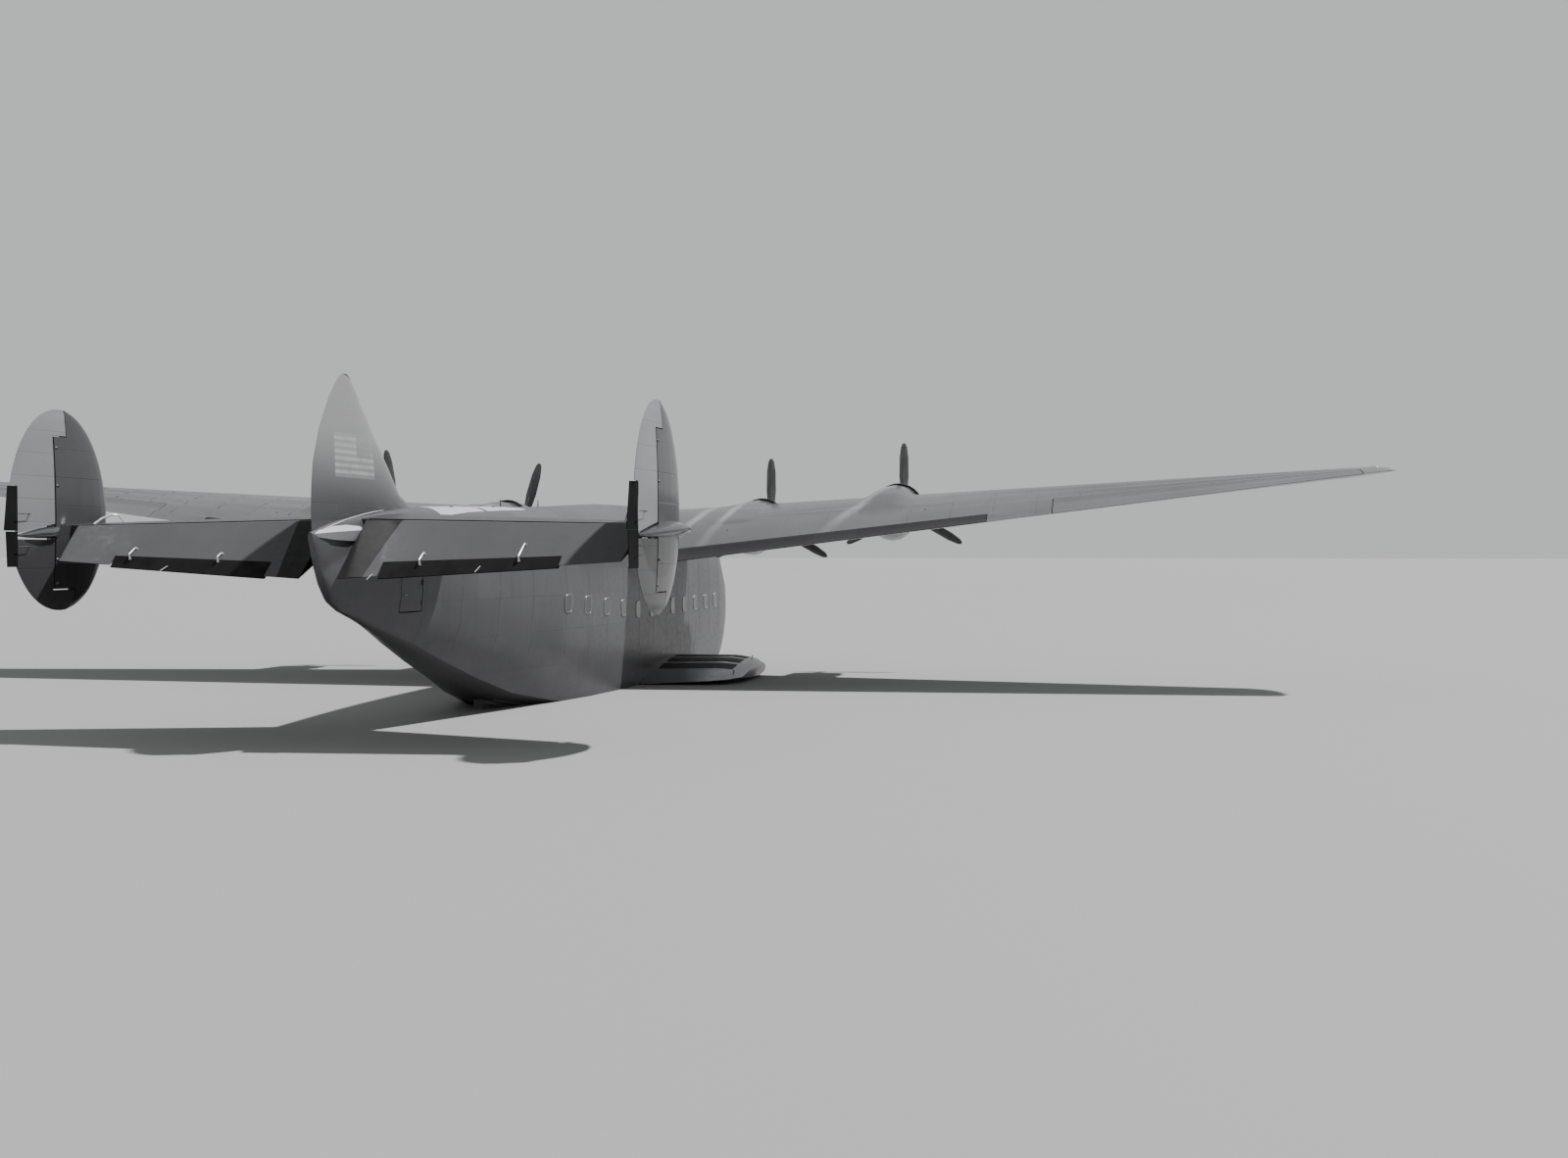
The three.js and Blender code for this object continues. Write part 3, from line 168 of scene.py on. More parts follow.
class MaterialGraph(NodeTree):
    """A node material on Object coordinates."""

    def __init__(self, name: str) -> None:
        """Starts a material with one Principled shader."""
        self.material = bpy.data.materials.new(name)
        self.material.use_nodes = True
        self.tree = self.material.node_tree
        self.shader = self.tree.nodes["Principled BSDF"]
        self.position = self.add("ShaderNodeTexCoord").outputs["Object"]
        split = self.add("ShaderNodeSeparateXYZ")
        self.link(self.position, split.inputs[0])
        self.axes = [split.outputs[i] for i in range(3)]

    def feed(self, socket: bpy.types.NodeSocket, value: object) -> None:
        """Links a socket to another, or gives it a constant."""
        if isinstance(value, bpy.types.NodeSocket):
            self.link(value, socket)
        elif value is not None:
            socket.default_value = value

    def math(self, operation: str, *values: object, clamp: bool = False) -> bpy.types.NodeSocket:
        """One Math node.

        Args:
            operation: Blender's name of the operation.
            values: Numbers or sockets, in order.
            clamp: Keeps the result between 0 and 1.

        Returns:
            The result's socket.
        """
        node = self.add("ShaderNodeMath", operation=operation, use_clamp=clamp)
        for socket, value in zip(node.inputs, values):
            self.feed(socket, value)
        return node.outputs[0]

    def times(self, first: object, second: object) -> bpy.types.NodeSocket:
        """Product of two values."""
        return self.math("MULTIPLY", first, second)

    def plus(self, first: object, second: object, clamp: bool = False) -> bpy.types.NodeSocket:
        """Sum of two values."""
        return self.math("ADD", first, second, clamp=clamp)

    def minus(self, first: object, second: object) -> bpy.types.NodeSocket:
        """Difference of two values."""
        return self.math("SUBTRACT", first, second)

    def swing(self, value: object, size: float) -> bpy.types.NodeSocket:
        """Turns a value from 0 to 1 into one that swings about 0."""
        return self.times(self.minus(value, 0.5), size)

    def ramp(
        self, value: object, low: float, high: float, out_low: float, out_high: float,
    ) -> bpy.types.NodeSocket:
        """Smoothly maps a value from one range to another, clamped."""
        node = self.add("ShaderNodeMapRange", interpolation_type="SMOOTHSTEP")
        for i, part in enumerate((value, low, high, out_low, out_high)):
            self.feed(node.inputs[i], part)
        return node.outputs[0]

    def noise(self, scale: float, detail: float = 3.0, stretch: tuple = EVEN) -> bpy.types.NodeSocket:
        """Fractal noise on the Object coordinates.

        Args:
            scale: Features per metre.
            detail: Octaves.
            stretch: Scale along each axis.

        Returns:
            The noise value's socket.
        """
        mapping = self.add("ShaderNodeMapping")
        mapping.inputs["Scale"].default_value = stretch
        self.feed(mapping.inputs["Vector"], self.position)
        node = self.add("ShaderNodeTexNoise")
        self.feed(node.inputs["Vector"], mapping.outputs[0])
        self.feed(node.inputs["Scale"], scale)
        self.feed(node.inputs["Detail"], detail)
        return node.outputs["Fac"]

    def plates(self, pitch: tuple, shift: tuple) -> bpy.types.NodeSocket:
        """A random value for each plate of a regular plating.

        Args:
            pitch: Plate size along each axis, 0 where plates don't end.
            shift: Where the first joint lies along each axis.

        Returns:
            A socket from 0 to 1, the same all over one plate.
        """
        cells = self.add("ShaderNodeCombineXYZ")
        for i, (step, start) in enumerate(zip(pitch, shift)):
            if step:
                scaled = self.math("DIVIDE", self.math("SUBTRACT", self.axes[i], start), step)
                self.feed(cells.inputs[i], self.math("FLOOR", scaled))
        noise = self.add("ShaderNodeTexWhiteNoise", noise_dimensions="3D")
        self.feed(noise.inputs["Vector"], cells.outputs[0])
        return noise.outputs["Value"]

    def joints(self, pitch: tuple, shift: tuple, width: float) -> bpy.types.NodeSocket:
        """A value that is 1 on the joints between plates and 0 away from them."""
        total: object = 0.0
        for i, (step, start) in enumerate(zip(pitch, shift)):
            if not step:
                continue
            offset = self.math("SUBTRACT", self.axes[i], start)
            distance = self.math("PINGPONG", offset, step / 2)
            line = self.ramp(distance, 0.0, width, 1.0, 0.0)
            total = self.math("MAXIMUM", total, line)
        return total

    def blend(self, share: object, first: object, second: tuple) -> bpy.types.NodeSocket:
        """Mixes a second colour over the first, a colour or a socket, by a share from 0 to 1."""
        node = self.add("ShaderNodeMix", data_type="RGBA")
        base = (*first, 1.0) if isinstance(first, tuple) else first
        for i, value in ((0, share), (6, base), (7, (*second, 1.0))):
            self.feed(node.inputs[i], value)
        return node.outputs[2]

    def bump(
        self, height: object, strength: float, distance: float, normal: object = None,
    ) -> bpy.types.NodeSocket:
        """One Bump node, on top of another's normal where that is given."""
        node = self.add("ShaderNodeBump")
        self.feed(node.inputs["Strength"], strength)
        self.feed(node.inputs["Distance"], distance)
        self.feed(node.inputs["Height"], height)
        self.feed(node.inputs["Normal"], normal)
        return node.outputs[0]

    def set(self, **values: object) -> None:
        """Feeds the shader's own sockets, with _ for a space in the name."""
        for key, value in values.items():
            self.feed(self.shader.inputs[key.replace("_", " ")], value)


@dataclass(frozen=True)
class PlatedPaint:
    """Aluminium paint on riveted plating, with plates that differ a little in tone."""

    name: str
    shade: float = 0.2
    metallic: float = 0.5
    roughness: float = 0.22
    pitch: tuple = (0.0, 0.762, 0.45)
    shift: tuple = (0.0, 0.1, 0.05)
    joint: float = 0.006
    spread: float = 0.10
    cool: float = 0.05
    streak: tuple = (9.0, 9.0, 0.8)
    grime: float = 0.16
    ripple: float = 0.22
    specular: float = 0.4
    waterline: float | None = None

    def tone(self, graph: MaterialGraph) -> bpy.types.NodeSocket:
        """Brightness of the paint over the surface.

        Args:
            graph: The material being built.

        Returns:
            A socket around 0.5, higher where the paint is cleaner.
        """
        plate = graph.plates(self.pitch, self.shift)
        cloud = graph.noise(0.9, 4.0)
        runs = graph.noise(1.0, 5.0, self.streak)
        total = graph.plus(graph.swing(plate, self.spread * 2), graph.swing(runs, self.grime * 3))
        return graph.plus(graph.plus(total, graph.swing(cloud, 0.5)), 0.5, clamp=True)

    def build(self) -> bpy.types.Material:
        """Makes the material.

        Returns:
            The finished Blender material.
        """
        graph = MaterialGraph(self.name)
        tone = self.tone(graph)
        joint = graph.joints(self.pitch, self.shift, self.joint)
        tone = graph.times(tone, graph.ramp(joint, 0.0, 1.0, 1.0, 0.62))
        if self.waterline is not None:
            edge = graph.plus(graph.axes[2], graph.times(graph.noise(2.5, 5.0), 0.12))
            wet = graph.ramp(edge, self.waterline, self.waterline + 0.12, 0.35, 1.0)
            tone = graph.times(tone, wet)
        low, high = self.shade * 0.62, self.shade * 1.38
        blue = 1.0 + self.cool
        colour = graph.blend(tone, (low, low, low * blue), (high, high, high * blue))
        rough = graph.ramp(graph.noise(14.0, 4.0), 0.3, 0.75, self.roughness * 0.9, self.roughness * 1.15)
        waves = graph.bump(graph.noise(2.6, 2.0), self.ripple, 0.02)
        normal = graph.bump(graph.minus(1.0, joint), 0.5, 0.0015, waves)
        graph.set(Base_Color=self.decorated(graph, colour), Roughness=rough, Normal=normal)
        graph.set(Metallic=self.metallic, Specular_IOR_Level=self.specular)
        return graph.material

    def decorated(self, graph: MaterialGraph, colour: bpy.types.NodeSocket) -> bpy.types.NodeSocket:
        """Adds a surface's own markings to its colour; plain plating has none."""
        return colour


@dataclass(frozen=True)
class WingPaint(PlatedPaint):
    """Wing paint, paler in soft bands that run aft over the upper skin."""

    lanes: tuple = ((1.62, 1.44, 0.12), (2.07, 1.92, 0.11), (4.31, 3.74, 0.17))
    start: float = -1.7
    end: float = -0.2
    strength: float = 0.6
    pale: float = 0.4

    def decorated(self, graph: MaterialGraph, colour: bpy.types.NodeSocket) -> bpy.types.NodeSocket:
        """Lays a soft pale band along each lane: side at its start, side at its end and half width."""
        side = graph.math("ABSOLUTE", graph.axes[0])
        wobble = graph.swing(graph.noise(1.2, 2.0), 0.1)
        side = graph.plus(side, wobble)
        run = graph.math("DIVIDE", graph.minus(graph.axes[1], self.start), self.end - self.start)
        total: object = 0.0
        for first, last, half in self.lanes:
            centre = graph.plus(graph.times(run, last - first), first)
            off = graph.math("ABSOLUTE", graph.minus(side, centre))
            total = graph.math("MAXIMUM", total, graph.ramp(off, half * 0.1, half, 1.0, 0.0))
        rise = graph.ramp(run, -0.5, 0.1, 0.0, 1.0)
        fall = graph.ramp(run, 0.3, 1.15, 1.0, 0.25)
        broken = graph.ramp(graph.noise(2.0, 4.0, (3.0, 0.5, 1.0)), 0.3, 0.6, 0.6, 1.0)
        mask = graph.times(graph.times(total, rise), graph.times(fall, broken))
        return graph.blend(graph.times(mask, self.strength), colour, (self.pale,) * 3)


@dataclass(frozen=True)
class ElevatorPaint(PlatedPaint):
    """Elevator paint, dark on the panel beside the hull."""

    inner: float = 0.575
    narrowing: float = 0.16
    hinge: float = 7.62
    dark: float = 0.005

    def decorated(self, graph: MaterialGraph, colour: bpy.types.NodeSocket) -> bpy.types.NodeSocket:
        """Paints the panel beside the hull dark, out to an edge that nears the hull going aft."""
        side = graph.math("ABSOLUTE", graph.axes[0])
        aft = graph.minus(graph.axes[1], self.hinge)
        edge = graph.minus(self.inner, graph.times(aft, self.narrowing))
        beyond = graph.minus(side, edge)
        return graph.blend(graph.ramp(beyond, -0.003, 0.003, 0.95, 0.0), colour, (self.dark,) * 3)


@dataclass(frozen=True)
class FinPaint(PlatedPaint):
    """Outer fin paint, darkened below the stabiliser by painted shade."""

    stain_top: float = 2.13
    stain: float = 0.03
    share: float = 0.4

    def decorated(self, graph: MaterialGraph, colour: bpy.types.NodeSocket) -> bpy.types.NodeSocket:
        """Paints shade over the fin from the stabiliser down, with a ragged edge."""
        ragged = graph.swing(graph.noise(3.0, 4.0), 0.1)
        level = graph.plus(graph.axes[2], ragged)
        # painted shade: below the stabiliser the fin is darkened as if it stood in the stabiliser's shadow
        mask = graph.ramp(level, self.stain_top - 0.12, self.stain_top, self.share, 0.0)
        return graph.blend(mask, colour, (self.stain,) * 3)


@dataclass(frozen=True)
class StripedFinPaint(PlatedPaint):
    """Fin paint with a pale rectangle of plain stripes on both faces, and a painted highlight towards the
    tip.
    """

    front: float = 7.25
    back: float = 8.09
    foot: float = 2.715
    head: float = 3.16
    bands: int = 13
    strength: float = 0.85
    pale: float = 0.5
    clean_from: float = 2.4
    clean_to: float = 3.3
    clean_shade: float = 0.42

    def decorated(self, graph: MaterialGraph, colour: bpy.types.NodeSocket) -> bpy.types.NodeSocket:
        """Paints the stripes, darker in one quarter, over paint lightened towards the tip as a painted
        highlight.
        """
        edge = 0.004
        # painted highlight: the paint pales towards the fin's tip as if it caught the bright sky
        painted_highlight = graph.ramp(graph.axes[2], self.clean_from, self.clean_to, 0.0, 0.75)
        colour = graph.blend(painted_highlight, colour, (self.clean_shade,) * 3)

        def inside(axis: int, low: float, high: float) -> bpy.types.NodeSocket:
            """1 between two places along an axis, with a soft edge."""
            rise = graph.ramp(graph.axes[axis], low - edge, low + edge, 0.0, 1.0)
            fall = graph.ramp(graph.axes[axis], high - edge, high + edge, 1.0, 0.0)
            return graph.times(rise, fall)

        area = graph.times(inside(1, self.front, self.back), inside(2, self.foot, self.head))
        middle = self.front + 0.46 * (self.back - self.front)
        quarter = graph.times(
            inside(1, self.front, middle),
            inside(2, self.foot + 0.48 * (self.head - self.foot), self.head),
        )
        pitch = (self.head - self.foot) / self.bands
        wave = graph.math("PINGPONG", graph.minus(graph.axes[2], self.foot - pitch / 2), pitch)
        band = graph.ramp(wave, pitch * 0.4, pitch * 0.6, 1.0, 0.35)
        worn = graph.ramp(graph.noise(6.0, 4.0), 0.3, 0.6, 0.6, 1.0)
        pale = graph.times(graph.times(area, band), worn)
        pale = graph.times(pale, graph.minus(1.0, graph.times(quarter, 0.75)))
        return graph.blend(graph.times(pale, self.strength), colour, (self.pale,) * 3)


@dataclass(frozen=True)
class WornMetal:
    """Bare or painted machine metal with fine scratches and grime."""

    name: str
    low: float
    high: float
    metallic: float = 0.8
    roughness: float = 0.4
    grain: tuple = EVEN
    scale: float = 12.0
    relief: float = 0.1
    specular: float = 0.5

    def build(self) -> bpy.types.Material:
        """Makes the material.

        Returns:
            The finished Blender material.
        """
        graph = MaterialGraph(self.name)
        fine = graph.noise(self.scale, 6.0, self.grain)
        broad = graph.noise(self.scale * 0.15, 3.0)
        mixed = graph.plus(graph.times(fine, 0.55), graph.times(broad, 0.45))
        grey = graph.ramp(mixed, 0.32, 0.66, 0.0, 1.0)
        colour = graph.blend(grey, (self.low,) * 3, (self.high, self.high, self.high * 1.03))
        rough = graph.ramp(fine, 0.3, 0.7, self.roughness * 1.3, self.roughness * 0.8)
        graph.set(Base_Color=colour, Roughness=rough, Normal=graph.bump(fine, self.relief, 0.002))
        graph.set(Metallic=self.metallic, Specular_IOR_Level=self.specular)
        return graph.material


@dataclass(frozen=True)
class DarkGlass:
    """Window glass, near black with the painted shade of the cabin behind it, faintly dusty."""

    name: str

    def build(self) -> bpy.types.Material:
        """Makes the material.

        Returns:
            The finished Blender material.
        """
        graph = MaterialGraph(self.name)
        dust = graph.noise(5.0, 4.0)
        # painted shade: the near black stands for the unlit cabin behind the glass
        colour = graph.blend(dust, (0.003, 0.003, 0.004), (0.012, 0.013, 0.015))
        waves = graph.bump(graph.noise(3.0, 1.0), 0.05, 0.01)
        graph.set(Base_Color=colour, Roughness=graph.ramp(dust, 0.4, 0.8, 0.04, 0.16), Normal=waves)
        graph.set(Specular_IOR_Level=0.5, Coat_Weight=0.15, Coat_Roughness=0.03)
        return graph.material


@dataclass(frozen=True)
class Finishes:
    """Every finish of the aircraft, built once and shared."""

    hull: bpy.types.Material
    wing: bpy.types.Material
    stabiliser: bpy.types.Material
    tail: bpy.types.Material
    centre_fin: bpy.types.Material
    rudder: bpy.types.Material
    rudder_low: bpy.types.Material
    elevator: bpy.types.Material
    fabric: bpy.types.Material
    flap: bpy.types.Material
    cowl: bpy.types.Material
    nacelle: bpy.types.Material
    panel: bpy.types.Material
    tab: bpy.types.Material
    bottom: bpy.types.Material
    engine: bpy.types.Material
    blade: bpy.types.Material
    steel: bpy.types.Material
    bright: bpy.types.Material
    dark: bpy.types.Material
    exhaust: bpy.types.Material
    glass: bpy.types.Material
    lamp: bpy.types.Material
    rivet: bpy.types.Material

    @classmethod
    def mix(cls) -> "Finishes":
        """Builds all the materials.

        Returns:
            The set of finishes.
        """
        fin = dict(
            metallic=0.6, pitch=(0.0, 0.0, 0.3), shift=(0.0, 0.0, 0.04), streak=(1.2, 1.2, 0.6),
            spread=0.04, grime=0.08, ripple=0.03,
        )
        dope = dict(
            pitch=(0.0, 0.0, 0.24), shift=(0.0, 0.0, 0.1), joint=0.01, spread=0.02,
            streak=(1.2, 1.2, 0.6), ripple=0.02,
        )
        unplated = dict(pitch=(0.0, 0.0, 0.0), spread=0.0)
        mixed = dict(
            hull=PlatedPaint(
                "hull_aluminium_paint", shade=0.085, metallic=0.4, roughness=0.36, ripple=0.04,
                grime=0.06, spread=0.07, specular=0.12, waterline=0.05,
            ),
            wing=WingPaint(
                "wing_aluminium_paint", shade=0.1, pitch=(0.61, 0.9, 0.0), shift=(0.1, 0.15, 0.0),
                streak=(6.0, 0.7, 6.0), spread=0.05, grime=0.06, ripple=0.04,
            ),
            stabiliser=PlatedPaint(
                "stabiliser_aluminium_paint", shade=0.055, metallic=0.4, roughness=0.4,
                pitch=(0.61, 0.0, 0.0), streak=(4.0, 0.8, 1.0), spread=0.04, grime=0.06, ripple=0.03,
                specular=0.12,
            ),
            # the outer fins' paint carries painted shade below the stabiliser
            tail=FinPaint("tail_aluminium_paint", shade=0.085, roughness=0.16, **fin),
            # the centre fin's paint carries a painted highlight towards its tip
            centre_fin=StripedFinPaint("centre_fin_paint", shade=0.1, roughness=0.17, **fin),
            rudder=PlatedPaint(
                "rudder_silver_dope", shade=0.26, metallic=0.5, roughness=0.22, grime=0.06, **dope,
            ),
            # lower rudder halves: the same dope as above, darkened as painted shade below the stabiliser
            rudder_low=PlatedPaint(
                "rudder_grey_dope", shade=0.055, metallic=0.4, roughness=0.24, grime=0.08, **dope,
            ),
            elevator=ElevatorPaint(
                "elevator_silver_dope", shade=0.062, metallic=0.1, roughness=0.5,
                streak=(4.0, 0.8, 1.0), ripple=0.0, grime=0.05, specular=0.12, **unplated,
            ),
            fabric=PlatedPaint(
                "aileron_silver_dope", shade=0.1, metallic=0.35, roughness=0.34,
                streak=(4.0, 0.8, 1.0), ripple=0.03, grime=0.06, **unplated,
            ),
            # flap paint: darkened as painted shade, as on a flap turned away from the light; the sponson
            # walkways' dark non-slip strips share it
            flap=PlatedPaint(
                "flap_aluminium_paint", shade=0.022, metallic=0.3, pitch=(0.61, 0.0, 0.0),
                shift=(0.1, 0.0, 0.0), roughness=0.55, streak=(6.0, 0.8, 1.0), ripple=0.02,
                grime=0.08, specular=0.1,
            ),
            cowl=WornMetal("cowl_aluminium", 0.24, 0.38, 0.75, 0.26, (1.0, 0.35, 1.0), 5.0, 0.05),
            nacelle=PlatedPaint(
                "nacelle_aluminium_paint", shade=0.1, pitch=(0.0, 0.4, 0.0), streak=(8.0, 0.7, 8.0),
                grime=0.1, ripple=0.05,
            ),
            # pale panels on the crown; on the tail root fairing the same pale paint is a painted highlight
            panel=PlatedPaint(
                "pale_panel_paint", shade=0.34, metallic=0.1, roughness=0.4, grime=0.06, ripple=0.02,
                **unplated,
            ),
            tab=WornMetal("tab_dark_paint", 0.004, 0.009, 0.0, 0.6, (1.0, 1.0, 0.4), 6.0, 0.03, 0.08),
            bottom=WornMetal("bottom_dark_paint", 0.028, 0.06, 0.05, 0.45, (1.0, 0.3, 1.0), 3.0, 0.08),
            engine=WornMetal("engine_grey_enamel", 0.05, 0.12, 0.55, 0.42, EVEN, 20.0, 0.15),
            blade=WornMetal("propeller_dull_metal", 0.08, 0.13, 0.6, 0.38, (4.0, 4.0, 0.6), 7.0, 0.05),
            steel=WornMetal("fitting_steel", 0.24, 0.4, 0.9, 0.3, EVEN, 25.0, 0.08),
            bright=WornMetal("bright_fitting", 0.5, 0.64, 0.5, 0.25, EVEN, 20.0, 0.03),
            # black for the crown catches and masts; also painted shade as dark discs and strips in vents,
            # pipe mouths and gill slots
            dark=WornMetal("shadow_black", 0.008, 0.018, 0.0, 0.6, EVEN, 12.0, 0.05),
            exhaust=WornMetal("exhaust_scale", 0.05, 0.14, 0.7, 0.55, EVEN, 18.0, 0.25),
            glass=DarkGlass("cabin_glass"),
            lamp=WornMetal("lamp_lens", 0.45, 0.6, 0.1, 0.08, EVEN, 8.0, 0.02),
            rivet=WornMetal("rivet_heads", 0.05, 0.1, 0.2, 0.6, EVEN, 30.0, 0.05),
        )
        return cls(**{name: finish.build() for name, finish in mixed.items()})


# Making pieces


def soft_step(share: float) -> float:
    """Rises smoothly from 0 to 1 as a share goes from 0 to 1."""
    inside = max(0.0, min(1.0, share))
    return inside * inside * (3 - 2 * inside)


def body_of_node(node: str) -> str:
    """Name of the CAD body that a node belongs to."""
    return frame["nodes"][node]["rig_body"]


def finish_piece(
    mesh: bpy.types.Mesh,
    name: str,
    body: str,
    material: bpy.types.Material | None,
    slot: Slot,
    replaced: tuple = (),
) -> bpy.types.Object:
    """Makes an object of a mesh whose place is in its vertices, and rides it on its body.

    Args:
        mesh: The piece's mesh.
        name: The piece's name.
        body: The CAD body it moves with.
        material: Its finish, or None where the mesh already has its own.
        slot: The record's material slot; not used.
        replaced: CAD nodes that it stands for.

    Returns:
        The piece.
    """
    piece = bpy.data.objects.new(name, mesh)
    bpy.context.scene.collection.objects.link(piece)
    if material is not None:
        mesh.materials.clear()
        mesh.materials.append(material)
    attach(piece, body)
    if replaced:
        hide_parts(*replaced)
    return piece


def smooth_by_angle(work: bmesh.types.BMesh, degrees: float) -> None:
    """Shades a mesh smooth, with sharp edges where faces meet at more than an angle."""
    limit = math.radians(degrees)
    for face in work.faces:
        face.smooth = True
    for edge in work.edges:
        edge.smooth = len(edge.link_faces) == 2 and edge.calc_face_angle(0.0) < limit


def mesh_from(work: bmesh.types.BMesh, name: str) -> bpy.types.Mesh:
    """Turns a working mesh into a Blender mesh and frees it."""
    mesh = bpy.data.meshes.new(name)
    work.to_mesh(mesh)
    work.free()
    return mesh


def skin(
    node: str,
    material: bpy.types.Material,
    slot: Slot = Slot.SILVER,
    angle: float = SMOOTH_ANGLE,
    name: str = "",
    refine: "EllipseOutline | None" = None,
) -> None:
    """Replaces a CAD node by a merged, smoothly shaded copy of it.

    Args:
        node: The CAD node.
        material: Its finish.
        slot: The record's material slot.
        angle: Edges sharper than this many degrees stay sharp.
        name: The new piece's name, if it isn't the node's with _skin added.
        refine: The true outline of an outer fin, which rounds off the copy's corners.
    """
    name = name or f"{node}_skin"
    work = bmesh.new()
    work.from_mesh(frame["nodes"][node].data)
    bmesh.ops.remove_doubles(work, verts=work.verts, dist=MERGE_DISTANCE)
    if refine is not None:
        refine.round_off(work)
    smooth_by_angle(work, angle)
    finish_piece(mesh_from(work, name), name, body_of_node(node), material, slot, (node,))


@dataclass(frozen=True)
class EllipseOutline:
    """True side outline of an outer fin, full size: an ellipse with two reaches, and its levels."""

    station: float = 30.67
    height: float = 4.65
    reach: float = 1.7
    above: float = 2.27
    below: float = 1.98
    hinge: float = 30.98
    levels: tuple = (-0.985, -0.9, -0.75, -0.5, -0.2, 0.2, 0.5, 0.75, 0.9, 0.985)
    cuts: int = 3

    def spread(self, level: float) -> float:
        """Half the ellipse's chord at a level between -1 and 1."""
        return self.reach * math.sqrt(max(0.0, 1.0 - level * level))

    def straight_spread(self, level: float) -> float:
        """Half the chord of the outline's straight run between two neighbouring levels."""
        for low, high in zip(self.levels, self.levels[1:]):
            if level <= high:
                share = (level - low) / (high - low)
                return self.spread(low) + (self.spread(high) - self.spread(low)) * share
        return self.spread(level)

    def round_off(self, work: bmesh.types.BMesh) -> None:
        """Cuts the faces finer and moves the outline's points out to the ellipse.

        Args:
            work: A merged copy of a fin or rudder half.
        """
        aft_limit = cad_bounds[1][1]
        bmesh.ops.subdivide_edges(work, edges=work.edges, cuts=self.cuts, use_grid_fill=True)
        for vertex in work.verts:
            station = vertex.co.y / MODEL_SCALE + ORIGIN_STATION
            height = vertex.co.z / MODEL_SCALE
            tall = self.above if height > self.height else self.below
            level = max(self.levels[0], min(self.levels[-1], (height - self.height) / tall))
            straight, true = self.straight_spread(level), self.spread(level)
            way = 1.0 if station > self.hinge else -1.0
            run = self.station + way * straight - self.hinge
            share = max(0.0, min(1.0, (station - self.hinge) / run))
            station += way * (true - straight) * share
            if abs(level) > self.levels[-1] - 1e-4:
                off = (station - self.station) / self.reach
                full = math.sqrt(max(0.0, 1.0 - off * off))
                height = self.height + math.copysign(max(full, abs(level)), level) * tall
            place_y = (station - ORIGIN_STATION) * MODEL_SCALE
            vertex.co.y = max(vertex.co.y, min(place_y, aft_limit)) if way > 0 else place_y
            vertex.co.z = height * MODEL_SCALE


class Tracer:
    """Finds points on the outside of CAD nodes by casting rays at them."""

    def __init__(self, *nodes: str) -> None:
        """Reads the nodes' triangles without changing them."""
        points: list = []
        faces: list = []
        for node in nodes:
            data = frame["nodes"][node].data
            first = len(points)
            points += [vertex.co.copy() for vertex in data.vertices]
            faces += [[first + i for i in polygon.vertices] for polygon in data.polygons]
        self.tree = BVHTree.FromPolygons(points, faces)

    def hit(self, start: Vector, direction: Vector, reach: float = 50.0) -> tuple | None:
        """First place a ray meets, with the surface's outward normal.

        Args:
            start: Where the ray starts.
            direction: Which way it goes.
            reach: How far it goes.

        Returns:
            The point and the normal turned towards the ray's start, or None.
        """
        way = direction.normalized()
        spot, normal, _, _ = self.tree.ray_cast(start, way, reach)
        if spot is None:
            return None
        if normal.dot(way) > 0:
            normal = -normal
        return spot, normal

    def trace(self, starts: list, way: Vector, reach: float = 50.0) -> list:
        """Casts a row of rays and keeps the places that they meet."""
        found = [self.hit(start, way, reach) for start in starts]
        return [spot for spot in found if spot is not None]

    def ring(self, y: float, half: float, top: float, start: float, end: float, steps: int) -> list:
        """Outer points of a section across the hull, met from outside.

        Args:
            y: Where the section lies.
            half: Distance from the axis that is surely outside.
            top: Height of the axis that the rays aim at.
            start: First angle in degrees, 0 to port and 90 upwards.
            end: Last angle.
            steps: Number of steps.

        Returns:
            Points with normals, in order.
        """
        found = []
        for i in range(steps + 1):
            angle = math.radians(start + (end - start) * i / steps)
            out = Vector((math.cos(angle), 0.0, math.sin(angle)))
            spot = self.hit(Vector((0.0, y, top)) + out * half, -out, half)
            if spot is not None:
                found.append(spot)
        return found


def bridge(work: bmesh.types.BMesh, loops: list) -> None:
    """Adds the faces of a closed body through equal loops of vertices."""
    count = len(loops[0])
    for near, far in zip(loops, loops[1:]):
        for k in range(count):
            work.faces.new((near[k], near[(k + 1) % count], far[(k + 1) % count], far[k]))
    work.faces.new(loops[0][::-1])
    work.faces.new(loops[-1])


def ribbon(work: bmesh.types.BMesh, line: list, width: float, height: float) -> None:
    """Adds a raised strap along a line of points with normals.

    Args:
        work: The mesh to add to.
        line: Points and outward normals.
        width: The strap's width.
        height: How far it stands proud.
    """
    rings = []
    for i, (spot, normal) in enumerate(line):
        before = line[max(i - 1, 0)][0]
        after = line[min(i + 1, len(line) - 1)][0]
        across = (after - before).cross(normal)
        if across.length < 1e-9:
            return
        across = across.normalized() * (width / 2)
        up = normal * height
        down = normal * (-height)
        crown = across * 0.9
        corners = [spot - across + down, spot - crown + up, spot + crown + up, spot + across + down]
        rings.append([work.verts.new(corner) for corner in corners])
    if len(rings) > 1:
        bridge(work, rings)


